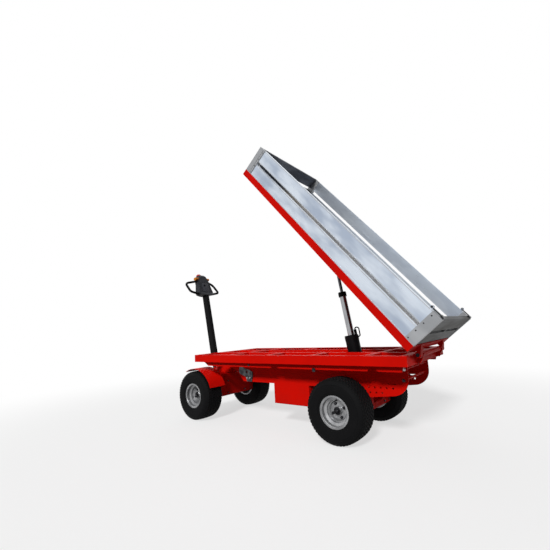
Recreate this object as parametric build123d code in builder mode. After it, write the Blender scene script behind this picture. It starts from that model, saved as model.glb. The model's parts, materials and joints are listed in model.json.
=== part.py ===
from build123d import *
import os
from math import atan2, cos, degrees, hypot, radians, sin

os.makedirs("parts", exist_ok=True)

# Pedestrian controlled platform truck with a tipping aluminium bed.
# Millimetres. +X points forward to the tiller, +Y to the left, +Z up.
# Stations along X are measured from the rear axle, heights from the floor.

# Wheels: an 18 inch turf tyre on an 8 inch rim
tyre_radius = 228.5
tyre_width = 203.5
tyre_wall = 13.0
tyre_outer_face = 465.6
wheelbase = 1542.0
rim_seat_radius = 101.6
rim_flange_radius = 113.5
rim_inset = 13.0
rim_gauge = 4.0
rim_well_radius = 84.0
rim_disc_depth = 72.0
hub_radius = 30.0
hub_flange_radius = 70.0
spindle_radius = 20.0
pivot_gap = 0.3

# Deck grid
deck_rear = -543.0
deck_nose_setback = 38.0
deck_front = wheelbase - deck_nose_setback
deck_half_width = 455.0
deck_top = 615.0
rail_height = 66.0
rail_width = 50.0
tube_wall = 4.0
runner_offset = 150.0
runner_width = 40.0
outer_stations = [-250.0, 190.0, 630.0, 1070.0]
centre_stations = [-250.0, 1070.0]
skirt_drop = 38.0
skirt_gauge = 6.0

# Chassis box under the deck
plate_outer_face = 250.0
plate_gauge = 6.0
chassis_rear = -473.0
chassis_bottom = 360.0
tail_bottom = 340.0
axle_bay_bottom = 305.0
tail_corner_radius = 125.0
hole_radius = 7.0
hole_pitch = 44.0
tie_rod_radius = 8.0

# Drive housings
housing_half_length = 142.0
housing_bottom = 186.0
housing_chamfer = 10.0
housing_top = 400.0
ram_well_half_width = 85.0

# Battery box and hydraulic pack
battery_front = 690.0
battery_rear = 330.0
battery_bottom = 195.0
pack_rear = 785.0
pack_length = 170.0
pack_height = 118.0
motor_radius = 45.0

# Turntable and neck
neck_underside = 510.0
neck_gauge = 12.0
turntable_radius = 114.0
turntable_joint_height = 440.0
kingpin_radius = 20.0

# Fenders over the front wheels
fender_clearance = 21.0
fender_gauge = 2.5
fender_outer_face = 440.0
fender_front_angle = 60.0
fender_rear_angle = 161.0

# Tiller
tiller_pivot_ahead = 159.0
tiller_pivot_height = 420.0
tiller_lean = 10.8
tiller_depth = 76.0
tiller_breadth = 46.0
tiller_length = 865.0
tiller_pin_radius = 10.0
head_half_width = 98.0
head_height = 270.0
grip_radius = 13.0
front_reach = 2000.43

# Tipping bed, in its own directions: s forward along the floor, h square to the floor
bed_tilt = 50.744
hinge_behind_axle = 569.5
hinge_height = 610.0
hinge_shaft_radius = 15.0
hinge_lug_radius = 20.0
hinge_ear_radius = 22.0
bed_start = 34.4
bed_length = 2069.0
bed_half_width = 471.5
bed_rail_foot = 10.1
bed_rail_height = 52.3
bed_rail_width = 40.0
bed_runner_offset = 190.0
bed_bays = 7
floor_gauge = 3.0
board_face = 467.5
board_thickness = 26.0
board_lower = 101.0
board_gap = 26.0
board_upper = 109.0
rear_post_width = 74.0
front_post_width = 79.0
post_face = 470.0
post_thickness = 32.5
running_gap = 5.0
tailgate_thickness = 25.0
tailgate_stile = 40.0
strap_gauge = 7.0
tailgate_pivot_forward = 95.0
tailgate_pivot_rise = 12.0
tailgate_pin_radius = 5.0

# Two-stage ram: its foot on the chassis, its eye under the bed
ram_foot_station = -15.0
ram_foot_height = 360.0
ram_eye_forward = 1195.0
ram_eye_rise = 35.0
sleeve_radius = 55.5
sleeve_length = 386.0
sleeve_collar_radius = 57.0
sleeve_collar_depth = 42.0
stage_radius = 27.5
stage_collar_radius = 33.0
stage_start = 275.0
stage_end = 754.0
rod_radius = 13.0
rod_start = 575.0
ram_pin_radius = 15.0
ram_eye_radius = 22.0
ram_eye_width = 26.0
ram_cheek_gap = 36.0
cheek_gauge = 10.0
hose_radius = 5.0
fitting_radius = 12.5

# Derived places
tilt = radians(bed_tilt)
lean = radians(tiller_lean)
board_top = board_lower + board_gap + board_upper
board_foot = bed_rail_foot + bed_rail_height
strap_top = board_foot + board_top + running_gap + strap_gauge
strap_rear = bed_start + 4.0
rear_reach = hinge_behind_axle + strap_top * sin(tilt) - strap_rear * cos(tilt)
rear_axle_x = (rear_reach - front_reach) / 2


def station(distance):
    """X of a place measured forward from the rear axle."""
    return rear_axle_x + distance


front_axle_x = station(wheelbase)
deck_bottom = deck_top - rail_height
plate_inner_face = plate_outer_face - plate_gauge
wheel_centre = tyre_outer_face - tyre_width / 2
tiller_pivot_x = front_axle_x + tiller_pivot_ahead
hinge_x = station(-hinge_behind_axle)
fender_radius = tyre_radius + fender_clearance


def side_plane(y):
    """Upright plane: local x forward, local y up."""
    return Plane(origin=(0, y, 0), x_dir=(1, 0, 0), z_dir=(0, -1, 0))


def bed_side(y):
    """Plane along the bed's side: local x is s, local y is h."""
    return Plane(origin=(hinge_x, y, hinge_height), x_dir=(cos(tilt), 0, sin(tilt)), z_dir=(0, -1, 0))


def bed_level(height):
    """Plane on the bed at h: local x is s, local y is +Y."""
    origin = (hinge_x - sin(tilt) * height, 0, hinge_height + cos(tilt) * height)
    return Plane(origin=origin, x_dir=(cos(tilt), 0, sin(tilt)), z_dir=(-sin(tilt), 0, cos(tilt)))


def bed_end(forward):
    """Plane across the bed at s: local x is +Y, local y is h."""
    origin = (hinge_x + cos(tilt) * forward, 0, hinge_height + sin(tilt) * forward)
    return Plane(origin=origin, x_dir=(0, 1, 0), z_dir=(cos(tilt), 0, sin(tilt)))


def tiller_side(y):
    """Plane along the tiller's side: local x forward, local y up along the arm."""
    origin = (tiller_pivot_x, y, tiller_pivot_height)
    return Plane(origin=origin, x_dir=(cos(lean), 0, -sin(lean)), z_dir=(0, -1, 0))


def tiller_across(forward, up):
    """Plane across the tiller: local x is +Y, local y up along the arm."""
    x = tiller_pivot_x + forward * cos(lean) + up * sin(lean)
    z = tiller_pivot_height - forward * sin(lean) + up * cos(lean)
    return Plane(origin=(x, 0, z), x_dir=(0, 1, 0), z_dir=(cos(lean), 0, -sin(lean)))


def save(part, name):
    """Label a finished piece and write it."""
    part.label = name
    export_step(part, "parts/" + name + ".step")


# Deck side rails: channels open inwards, closed by end plates
with BuildPart() as deck_side_rails:
    with BuildSketch(Plane.YZ.offset(station(deck_rear))) as rail_section:
        for side in (1, -1):
            with Locations((side * (deck_half_width - rail_width / 2), deck_top - rail_height / 2)):
                Rectangle(rail_width, rail_height)
    extrude(amount=deck_front - deck_rear)
    with BuildSketch(Plane.YZ.offset(station(deck_rear) + tube_wall)) as rail_hollow:
        for side in (1, -1):
            inner_centre = deck_half_width - rail_width / 2 - tube_wall / 2
            with Locations((side * inner_centre, deck_top - rail_height / 2)):
                Rectangle(rail_width - tube_wall, rail_height - 2 * tube_wall)
    extrude(amount=deck_front - deck_rear - 2 * tube_wall, mode=Mode.SUBTRACT)
save(deck_side_rails.part, "deck_side_rails")


# Deck cross members: rectangular tubes between the rails and the runners
def cross_tube(at_station, y_start, y_end):
    """Outline and hollow of one tube across the deck."""
    plane = Plane(origin=(station(at_station), y_start, deck_top - rail_height / 2),
                  x_dir=(1, 0, 0), z_dir=(0, 1, 0))
    with BuildSketch(plane) as section:
        Rectangle(rail_width, rail_height)
        Rectangle(rail_width - 2 * tube_wall, rail_height - 2 * tube_wall, mode=Mode.SUBTRACT)
    extrude(section.sketch, amount=y_end - y_start)


inner_edge = deck_half_width - rail_width
runner_outer = runner_offset + runner_width / 2
runner_inner = runner_offset - runner_width / 2
with BuildPart() as deck_cross_members:
    for end_station in (deck_rear + rail_width / 2, deck_front - rail_width / 2):
        cross_tube(end_station, -inner_edge, inner_edge)
    for outer_station in outer_stations:
        cross_tube(outer_station, runner_outer, inner_edge)
        cross_tube(outer_station, -inner_edge, -runner_outer)
    for centre_station in centre_stations:
        cross_tube(centre_station, -runner_inner, runner_inner)
save(deck_cross_members.part, "deck_cross_members")

# Deck runners: two tubes along the middle, clear of each other for the ram
with BuildPart() as deck_runners:
    with BuildSketch(Plane.YZ.offset(station(deck_rear + rail_width))):
        for side in (1, -1):
            with Locations((side * runner_offset, deck_top - rail_height / 2)):
                Rectangle(runner_width, rail_height)
                Rectangle(runner_width - 2 * tube_wall, rail_height - 2 * tube_wall, mode=Mode.SUBTRACT)
    extrude(amount=deck_front - deck_rear - 2 * rail_width)
save(deck_runners.part, "deck_runners")

# Deck skirts: notched strips under the side rails
skirt_inset = 8.0
skirt_face = deck_half_width - rail_width + skirt_inset
skirt_notches = [-295.0, 545.0]
with BuildPart() as deck_skirts:
    for side in (1, -1):
        with BuildSketch(side_plane(side * skirt_face + skirt_gauge / 2)):
            with BuildLine():
                Polyline((station(deck_rear + 40), deck_bottom),
                         (station(deck_rear + 52), deck_bottom - skirt_drop),
                         (station(deck_front - 150), deck_bottom - skirt_drop),
                         (station(deck_front - 90), deck_bottom), close=True)
            make_face()
            for notch in skirt_notches:
                with Locations((station(notch), deck_bottom - skirt_drop + 10)):
                    Trapezoid(74, 20, 60, mode=Mode.SUBTRACT)
        extrude(amount=skirt_gauge)
save(deck_skirts.part, "deck_skirts")

# Chassis side plates: deep perforated tail, straight middle, neck swept up to the turntable
neck_line = [(wheelbase - 492.0, chassis_bottom), (wheelbase - 457.0, 400.0),
             (wheelbase - 392.0, 462.0), (wheelbase - 242.0, neck_underside)]
neck_end = wheelbase - 137.0
lower_rod = (-443.0, 437.0)
upper_rod = (-453.0, 510.0)
top_hole_row = [(-360.0 + hole_pitch * i, 378.0) for i in range(6)]
low_hole_row = [(-280.0 + hole_pitch * i, 344.0) for i in range(4)]


def chassis_plate(y_outer):
    """One side plate, from y_outer to plate_gauge further right."""
    with BuildSketch(side_plane(y_outer)) as outline:
        with BuildLine():
            Polyline((station(chassis_rear), deck_bottom), (station(chassis_rear), tail_bottom),
                     (station(-150), axle_bay_bottom), (station(200), axle_bay_bottom),
                     (station(260), chassis_bottom),
                     *[(station(x), z) for x, z in neck_line],
                     (station(neck_end), neck_underside), (station(neck_end), deck_bottom), close=True)
        make_face()
        tail_corner = outline.vertices().sort_by(Axis.X)[:2].sort_by(Axis.Y)[0]
        fillet(tail_corner, tail_corner_radius)
        for x, z in top_hole_row + low_hole_row:
            with Locations((station(x), z)):
                Circle(hole_radius, mode=Mode.SUBTRACT)
        with Locations((station(-357), 407.0)):
            SlotOverall(62, 8, mode=Mode.SUBTRACT)
        for x, z in (lower_rod, upper_rod):
            with Locations((station(x), z)):
                Circle(tie_rod_radius + pivot_gap, mode=Mode.SUBTRACT)
    extrude(outline.sketch, amount=plate_gauge)


with BuildPart() as chassis_side_left:
    chassis_plate(plate_outer_face)
save(chassis_side_left.part, "chassis_side_left")

with BuildPart() as chassis_side_right:
    chassis_plate(-plate_inner_face)
save(chassis_side_right.part, "chassis_side_right")

# Chassis floor: one sheet bent up into the neck
floor_start = 160.0
with BuildPart() as chassis_floor:
    with BuildSketch(side_plane(plate_inner_face)):
        with BuildLine() as floor_line:
            Polyline((station(floor_start), chassis_bottom), *[(station(x), z) for x, z in neck_line],
                     (station(neck_end), neck_underside))
            offset(amount=plate_gauge, side=Side.LEFT, kind=Kind.INTERSECTION)
        make_face()
    extrude(amount=2 * plate_inner_face)
save(chassis_floor.part, "chassis_floor")

# Chassis cross members: tubes between the side plates, the ram's foot bracket, tail tie rods
beam_centre = -115.0
beam_height = 40.0
beam_underside = housing_top + 2.0
cheek_inner = sleeve_collar_radius + 7.0
tie_stations = [-300.0, 740.0]
with BuildPart() as chassis_cross_members:
    for tie_station in tie_stations:
        plane = Plane(origin=(station(tie_station), -plate_inner_face, deck_bottom - rail_width / 2),
                      x_dir=(1, 0, 0), z_dir=(0, 1, 0))
        with BuildSketch(plane):
            Rectangle(rail_width, rail_width)
            Rectangle(rail_width - 2 * tube_wall, rail_width - 2 * tube_wall, mode=Mode.SUBTRACT)
        extrude(amount=2 * plate_inner_face)
    with Locations((station(beam_centre), 0, beam_underside + beam_height / 2)):
        Box(rail_width, 2 * plate_inner_face, beam_height)
    for y_start in (cheek_inner, -cheek_inner - cheek_gauge):
        with BuildSketch(side_plane(y_start + cheek_gauge)):
            with BuildLine():
                Polyline((station(beam_centre - 25), beam_underside + 10),
                         (station(beam_centre + 45), beam_underside + 10),
                         (station(ram_foot_station + 20), ram_foot_height + 24),
                         (station(ram_foot_station), ram_foot_height - 30),
                         (station(beam_centre - 25), beam_underside - 30), close=True)
            make_face()
            with Locations((station(ram_foot_station), ram_foot_height)):
                Circle(30)
        extrude(amount=cheek_gauge)
    with Locations(Plane(origin=(station(ram_foot_station), 0, ram_foot_height), z_dir=(0, 1, 0))):
        Cylinder(ram_pin_radius - pivot_gap, 2 * cheek_inner)
    for x, z in (lower_rod, upper_rod):
        with Locations(Plane(origin=(station(x), 0, z), z_dir=(0, 1, 0))):
            Cylinder(tie_rod_radius, 2 * plate_outer_face + 16)
            for side in (1, -1):
                with Locations((0, 0, side * (plate_outer_face + 4))):
                    Cylinder(tie_rod_radius + 5, 8)
save(chassis_cross_members.part, "chassis_cross_members")

# Hydraulic pack: oil tank with its pump motor
pack_width = 300.0
pack_corner = 14.0
motor_length = 70.0
motor_offset = -60.0
valve_block_length = 40.0
valve_block_width = 80.0
valve_block_height = 56.0
valve_block_offset = 70.0
with BuildPart() as hydraulic_pack:
    pack_floor = chassis_bottom + plate_gauge
    with Locations((station(pack_rear + pack_length / 2), 0, pack_floor + pack_height / 2)):
        Box(pack_length, pack_width, pack_height)
    fillet(hydraulic_pack.edges().filter_by(Axis.Z), pack_corner)
    with BuildSketch(Plane.YZ.offset(station(pack_rear + pack_length))):
        with Locations((motor_offset, pack_floor + motor_radius + 8)):
            Circle(motor_radius)
    extrude(amount=motor_length)
    with BuildSketch(Plane.YZ.offset(station(pack_rear + pack_length))):
        with Locations((valve_block_offset, pack_floor + 40)):
            Rectangle(valve_block_width, valve_block_height)
    extrude(amount=valve_block_length)
save(hydraulic_pack.part, "hydraulic_pack")

# Battery box: folded case with a lip under the chassis
with BuildPart() as battery_box:
    battery_centre = (battery_front + battery_rear) / 2
    with Locations((station(battery_centre), 0, (battery_bottom + chassis_bottom) / 2)):
        Box(battery_front - battery_rear, 2 * plate_outer_face, chassis_bottom - battery_bottom)
    fillet(battery_box.edges().filter_by(Axis.Z), 5)
    fillet(battery_box.faces().sort_by(Axis.Z)[0].edges(), 4)
save(battery_box.part, "battery_box")

# Rear drive housing: a gear case at each wheel joined by a low beam that leaves room for the ram
with BuildPart() as rear_drive_housing:
    with BuildSketch(Plane.YZ.offset(station(-housing_half_length))) as case_section:
        with BuildLine():
            Polyline((-plate_inner_face, housing_bottom), (plate_inner_face, housing_bottom),
                     (plate_inner_face, housing_top), (ram_well_half_width, housing_top),
                     (ram_well_half_width, housing_bottom + 50), (-ram_well_half_width, housing_bottom + 50),
                     (-ram_well_half_width, housing_top), (-plate_inner_face, housing_top), close=True)
        make_face()
    extrude(amount=2 * housing_half_length)
    low_edges = rear_drive_housing.faces().sort_by(Axis.Z)[0].edges()
    chamfer(low_edges, housing_chamfer)
    with Locations(Plane(origin=(station(0), 0, tyre_radius), z_dir=(0, 1, 0))):
        for side in (1, -1):
            with Locations((0, 0, side * (plate_inner_face + 62))):
                Cylinder(spindle_radius, 124)
save(rear_drive_housing.part, "rear_drive_housing")

# Front drive housing: closed gear case across the steered axle
with BuildPart() as front_drive_housing:
    with Locations((front_axle_x, 0, (housing_bottom + housing_top) / 2)):
        Box(2 * housing_half_length, 2 * plate_outer_face, housing_top - housing_bottom)
    chamfer(front_drive_housing.faces().sort_by(Axis.Z)[0].edges(), housing_chamfer)
    fillet(front_drive_housing.edges().filter_by(Axis.Y).sort_by(Axis.Z)[-2:], 12)
    with Locations(Plane(origin=(front_axle_x, 0, tyre_radius), z_dir=(0, 1, 0))):
        for side in (1, -1):
            with Locations((0, 0, side * (plate_outer_face + 59))):
                Cylinder(spindle_radius, 118)
save(front_drive_housing.part, "front_drive_housing")

# Upper turntable: round-ended neck plate with ribs, bearing ring and kingpin
neck_plate_reach = 240.0
neck_rib_offset = 95.0
neck_rib_gauge = 10.0
neck_rib_length = 180.0
with BuildPart() as turntable_upper:
    plate_floor = neck_underside + plate_gauge
    with BuildSketch(Plane.XY.offset(plate_floor)):
        with Locations((front_axle_x - neck_plate_reach / 2, 0)):
            Rectangle(neck_plate_reach, 2 * turntable_radius + 20)
        with Locations((front_axle_x, 0)):
            Circle(turntable_radius + 10)
    extrude(amount=neck_gauge)
    with BuildSketch(Plane.XY.offset(plate_floor + neck_gauge)):
        for side in (1, -1):
            with Locations((station(deck_front - neck_rib_length / 2), side * neck_rib_offset)):
                Rectangle(neck_rib_length, neck_rib_gauge)
    extrude(amount=deck_bottom - plate_floor - neck_gauge)
    with BuildSketch(Plane.XY.offset(turntable_joint_height + 0.5)):
        with Locations((front_axle_x, 0)):
            Circle(turntable_radius - 4)
            Circle(turntable_radius - 34, mode=Mode.SUBTRACT)
    extrude(amount=plate_floor - turntable_joint_height - 0.5)
    with BuildSketch(Plane.XY.offset(housing_top + 4)):
        with Locations((front_axle_x, 0)):
            Circle(kingpin_radius)
    extrude(amount=plate_floor - housing_top - 4)
save(turntable_upper.part, "turntable_upper")

# Lower turntable: bearing plate on the front axle
with BuildPart() as turntable_lower:
    with BuildSketch(Plane.XY.offset(housing_top)):
        with Locations((front_axle_x, 0)):
            Circle(turntable_radius)
            Circle(kingpin_radius + pivot_gap, mode=Mode.SUBTRACT)
    extrude(amount=turntable_joint_height - housing_top)
    chamfer(turntable_lower.edges().group_by(Axis.Z)[0].sort_by(SortBy.LENGTH)[-1], 6)
save(turntable_lower.part, "turntable_lower")


# Fenders: rolled sheet over each front wheel on an inner web
def fender(side):
    """One fender; side is 1 for left and -1 for right."""
    web_gauge = 4.0
    inner = plate_outer_face
    y_high = side * inner if side < 0 else fender_outer_face
    with BuildSketch(side_plane(y_high)) as sheet:
        with BuildLine():
            outer_arc = CenterArc((front_axle_x, tyre_radius), fender_radius + fender_gauge,
                                  fender_front_angle, fender_rear_angle - fender_front_angle)
            inner_arc = CenterArc((front_axle_x, tyre_radius), fender_radius,
                                  fender_front_angle, fender_rear_angle - fender_front_angle)
            Line(outer_arc @ 0, inner_arc @ 0)
            Line(outer_arc @ 1, inner_arc @ 1)
        make_face()
    extrude(sheet.sketch, amount=fender_outer_face - inner)
    y_web = inner + web_gauge if side > 0 else -inner
    with BuildSketch(side_plane(y_web)) as web:
        with BuildLine():
            web_arc = CenterArc((front_axle_x, tyre_radius), fender_radius + fender_gauge / 2, 72, 62)
            Polyline(web_arc @ 1, (front_axle_x - 110, housing_top - 60),
                     (front_axle_x + 80, housing_top - 60), web_arc @ 0)
        make_face()
    extrude(web.sketch, amount=web_gauge)


with BuildPart() as fender_left:
    fender(1)
save(fender_left.part, "fender_left")

with BuildPart() as fender_right:
    fender(-1)
save(fender_right.part, "fender_right")

# Tiller bracket: two cheeks and a pin on the front of the axle
tiller_cheek_gap = tiller_breadth / 2 + 0.5
housing_front = front_axle_x + housing_half_length
with BuildPart() as tiller_bracket:
    for y_start in (tiller_cheek_gap, -tiller_cheek_gap - cheek_gauge):
        with BuildSketch(side_plane(y_start + cheek_gauge)):
            with BuildLine():
                Polyline((housing_front, housing_top - 120), (housing_front + 14, housing_top - 120),
                         (tiller_pivot_x + 24, tiller_pivot_height),
                         (tiller_pivot_x - 18, tiller_pivot_height + 10),
                         (housing_front, housing_top), close=True)
            make_face()
            with Locations((tiller_pivot_x, tiller_pivot_height)):
                Circle(24)
        extrude(amount=cheek_gauge)
    with Locations((housing_front + 5, 0, housing_top - 75)):
        Box(10, 2 * tiller_cheek_gap + 70, 90)
    with Locations(Plane(origin=(tiller_pivot_x, 0, tiller_pivot_height), z_dir=(0, 1, 0))):
        Cylinder(tiller_pin_radius - pivot_gap, 2 * tiller_cheek_gap + 2 * cheek_gauge + 6)
save(tiller_bracket.part, "tiller_bracket")

# Tiller arm: tapered box tube on its pivot
with BuildPart() as tiller_arm:
    with BuildSketch(tiller_side(tiller_breadth / 2)):
        with BuildLine():
            Polyline((-tiller_depth / 2, 95), (-22, 0), (22, 0), (tiller_depth / 2, 95),
                     (tiller_depth / 2 - 3, tiller_length), (3 - tiller_depth / 2, tiller_length), close=True)
        make_face()
        Circle(24)
        Circle(tiller_pin_radius, mode=Mode.SUBTRACT)
    extrude(amount=tiller_breadth)
    fillet(tiller_arm.edges().filter_by_position(Axis.Z, tiller_pivot_height + 90, 3000)
           .filter_by(GeomType.LINE).sort_by(SortBy.LENGTH)[-4:], 7)
save(tiller_arm.part, "tiller_arm")

# Control head: front outline crossed with a side profile
head_foot = tiller_length - 20
head_top = head_foot + head_height
with BuildPart() as control_head:
    with BuildSketch(tiller_across(-90, 0)) as head_front:
        with BuildLine():
            Polyline((-36, head_foot), (-64, head_foot + 6), (-head_half_width, head_foot + 18),
                     (-head_half_width, head_foot + 44), (-76, head_foot + 140), (-62, head_top - 56),
                     (-38, head_top), (38, head_top), (62, head_top - 56), (76, head_foot + 140),
                     (head_half_width, head_foot + 44), (head_half_width, head_foot + 18),
                     (64, head_foot + 6), (36, head_foot), close=True)
        make_face()
        fillet(head_front.vertices().group_by(Axis.Y)[-1], 26)
        fillet(head_front.vertices().group_by(Axis.Y)[2:4], 12)
    extrude(amount=200)
    with BuildSketch(tiller_side(head_half_width + 5)) as head_profile:
        with BuildLine():
            Polyline((-44, head_foot), (-44, head_foot + 10), (-27, head_foot + 38), (-12, head_foot + 165),
                     (8, head_top - 22), (30, head_top), (72, head_top - 8), (86, head_top - 34),
                     (64, head_foot + 148), (54, head_foot + 38), (44, head_foot), close=True)
        make_face()
        fillet(head_profile.vertices().group_by(Axis.Y)[-1], 12)
    extrude(amount=2 * head_half_width + 10, mode=Mode.INTERSECT)
    add(tiller_arm.part, mode=Mode.SUBTRACT)
save(control_head.part, "control_head")

# Handle loops: bent bars seated on the head's flanks
with BuildPart() as handle_loops:
    for side in (1, -1):
        loop_points = [(24, side * 45, head_foot + 193), (78, side * 205, head_foot + 170),
                       (1, side * 210, head_foot + 48), (6, side * 75, head_foot + 22)]
        placed = []
        for forward, y, up in loop_points:
            placed.append((tiller_pivot_x + forward * cos(lean) + up * sin(lean), y,
                           tiller_pivot_height - forward * sin(lean) + up * cos(lean)))
        with BuildLine() as loop_path:
            FilletPolyline(*placed, radius=[38, 32])
        with BuildSketch(Plane(origin=loop_path.line @ 0, z_dir=loop_path.line % 0)):
            Circle(grip_radius)
        sweep(path=loop_path.line)
    add(control_head.part, mode=Mode.SUBTRACT)
save(handle_loops.part, "handle_loops")

# Stop button: mushroom cap on the head's front top corner
button_up = head_top - 22
button_forward = 52.0
with BuildPart() as stop_button:
    button_lean = lean + radians(28)
    button_x = tiller_pivot_x + button_forward * cos(lean) + button_up * sin(lean)
    button_z = tiller_pivot_height - button_forward * sin(lean) + button_up * cos(lean)
    button_plane = Plane(origin=(button_x, 0, button_z), x_dir=(0, 1, 0),
                         z_dir=(cos(button_lean), 0, sin(button_lean)))
    with BuildSketch(button_plane):
        Ellipse(34, 25)
    extrude(amount=40)
    fillet(stop_button.faces().sort_by(Axis.Z)[-1].edges(), 8)
    add(control_head.part, mode=Mode.SUBTRACT)
    offcuts = stop_button.solids().sort_by(SortBy.VOLUME)[:-1]
    if offcuts:
        add(offcuts, mode=Mode.SUBTRACT)
save(stop_button.part, "stop_button")

# Speed rockers: thumb paddles on both flanks
rocker_up = head_foot + 206
with BuildPart() as speed_rockers:
    for side in (1, -1):
        with BuildSketch(tiller_side(56 * side if side < 0 else 98)):
            with Locations((30, rocker_up + 10)):
                Ellipse(24, 17)
        extrude(amount=42)
    add(control_head.part, mode=Mode.SUBTRACT)
    add(handle_loops.part, mode=Mode.SUBTRACT)
save(speed_rockers.part, "speed_rockers")

# Side catch: hooked lock plate on the left flank of the chassis
with BuildPart() as side_catch:
    with BuildSketch(side_plane(plate_outer_face + 10)) as catch_outline:
        with BuildLine():
            Polyline((station(1089), 512), (station(1057), 512), (station(1050), 492), (station(1026), 476),
                     (station(984), 470), (station(933), 449), (station(930), 422), (station(942), 362),
                     (station(1004), 362), (station(1014), 403), (station(1086), 426), (station(1100), 445),
                     close=True)
        make_face()
        fillet(catch_outline.vertices(), 7)
        with Locations((station(999), 446)):
            Circle(11, mode=Mode.SUBTRACT)
    extrude(amount=10)
    for bolt_station in (957, 988):
        with Locations(Plane(origin=(station(bolt_station), plate_outer_face + 14, 395), z_dir=(0, 1, 0))):
            Cylinder(9, 8)
save(side_catch.part, "side_catch")


# Wheels: hollow turf tyre on a stepped rim with its hub
def wheel_plane(x, side):
    """Plane through a wheel's axis: local x outward from the tyre's middle, local y up."""
    return Plane(origin=(x, side * wheel_centre, tyre_radius), x_dir=(0, side, 0), z_dir=(side, 0, 0))


def wheel_axis(x, side):
    """Axis of one wheel, pointing outward."""
    return Axis((x, side * wheel_centre, tyre_radius), (0, side, 0))


def tyre(x, side):
    """Tyre section turned about its axis: crown, shoulders, bulged walls and beads."""
    half = tyre_width / 2
    bead = half - rim_inset
    seat = rim_seat_radius
    liner = tyre_radius - 24
    edge = half - 14 - tyre_wall
    with BuildSketch(wheel_plane(x, side)) as section:
        with BuildLine():
            Polyline((bead - rim_gauge, rim_flange_radius - 4), (bead - rim_gauge, seat),
                     (bead - 26, seat), (bead - 30, seat + 26))
            wall_middle = (rim_flange_radius + tyre_radius) / 2 - 4
            Line((bead - rim_gauge, rim_flange_radius - 4), (bead, rim_flange_radius))
            ThreePointArc((bead, rim_flange_radius), (half, wall_middle), (half - 9, tyre_radius - 15))
            ThreePointArc((half - 9, tyre_radius - 15), (half - 15, tyre_radius - 7),
                          (half - 26, tyre_radius - 3))
            ThreePointArc((half - 26, tyre_radius - 3), (0, tyre_radius), (26 - half, tyre_radius - 3))
            ThreePointArc((26 - half, tyre_radius - 3), (15 - half, tyre_radius - 7),
                          (9 - half, tyre_radius - 15))
            ThreePointArc((9 - half, tyre_radius - 15), (-half, wall_middle), (-bead, rim_flange_radius))
            Line((-bead, rim_flange_radius), (rim_gauge - bead, rim_flange_radius - 4))
            Polyline((rim_gauge - bead, rim_flange_radius - 4), (rim_gauge - bead, seat), (26 - bead, seat),
                     (30 - bead, seat + 26))
            ThreePointArc((30 - bead, seat + 26), (tyre_wall - half, wall_middle), (-edge, liner))
            Line((-edge, liner), (edge, liner))
            ThreePointArc((edge, liner), (half - tyre_wall, wall_middle), (bead - 30, seat + 26))
        make_face()
    revolve(section.sketch, axis=wheel_axis(x, side))


def rim(x, side):
    """Rim section turned about its axis: flanges, bead seats, well, disc, hub and its blind bore."""
    outer = tyre_width / 2 - rim_inset
    disc = outer - rim_disc_depth
    well = rim_well_radius
    seat = rim_seat_radius
    bore_floor = disc + 6
    hub_inner = -tyre_width / 2
    with BuildSketch(wheel_plane(x, side)) as section:
        with BuildLine():
            Polyline((bore_floor, 0), (disc + 22, 0), (disc + 22, hub_radius - 4), (disc + 18, hub_radius),
                     (disc, hub_radius), (disc, 62), (disc + 12, 70), (disc + 12, well - rim_gauge),
                     (outer - 41, well - rim_gauge), (outer - 33, seat - rim_gauge),
                     (outer - 3, seat - rim_gauge), (outer, seat - 1), (outer, rim_flange_radius),
                     (outer - rim_gauge, rim_flange_radius - 4), (outer - rim_gauge, seat),
                     (outer - 36, seat), (outer - 44, well), (-20, well), (-32, seat),
                     (rim_gauge - outer, seat),
                     (rim_gauge - outer, rim_flange_radius - 4), (-outer, rim_flange_radius),
                     (-outer, seat - 1), (3 - outer, seat - rim_gauge),
                     (-34, seat - rim_gauge), (-22, well - rim_gauge), (disc + 5, well - rim_gauge),
                     (disc + 5, hub_flange_radius), (disc - 16, hub_flange_radius),
                     (disc - 16, hub_radius + 4), (hub_inner, hub_radius + 4),
                     (hub_inner, spindle_radius + pivot_gap),
                     (bore_floor, spindle_radius + pivot_gap), close=True)
        make_face()
    revolve(section.sketch, axis=wheel_axis(x, side))


wheel_places = {"front_left": (front_axle_x, 1), "front_right": (front_axle_x, -1),
                "rear_left": (station(0), 1), "rear_right": (station(0), -1)}
for place, (axle_x, wheel_side) in wheel_places.items():
    with BuildPart() as tyre_part:
        tyre(axle_x, wheel_side)
    save(tyre_part.part, "tyre_" + place)
    with BuildPart() as rim_part:
        rim(axle_x, wheel_side)
    save(rim_part.part, "rim_" + place)

# Bed hinge: ears on the deck's rear member and the cross shaft
ear_gauge = 16.0
ear_outer = 254.0
lug_gap = 8.0
lug_width = 52.0
shaft_half_length = ear_outer + lug_gap + lug_width + 4
deck_rear_x = station(deck_rear)
with BuildPart() as bed_hinge_shaft:
    for y_outer in (ear_outer, -ear_outer + ear_gauge):
        with BuildSketch(side_plane(y_outer)):
            with BuildLine():
                Polyline((deck_rear_x, deck_bottom + 4), (hinge_x + 4, deck_bottom + 4),
                         (hinge_x - hinge_ear_radius, hinge_height), (hinge_x, hinge_height + 5),
                         (deck_rear_x, hinge_height + 3), close=True)
            make_face()
            with Locations((hinge_x, hinge_height)):
                Circle(hinge_ear_radius)
            with Locations((deck_rear_x + 25, hinge_height)):
                Rectangle(50, 80, mode=Mode.SUBTRACT)
        extrude(amount=ear_gauge)
    with Locations(Plane(origin=(hinge_x, 0, hinge_height), z_dir=(0, 1, 0))):
        Cylinder(hinge_shaft_radius, 2 * shaft_half_length)
save(bed_hinge_shaft.part, "bed_hinge_shaft")

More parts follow.
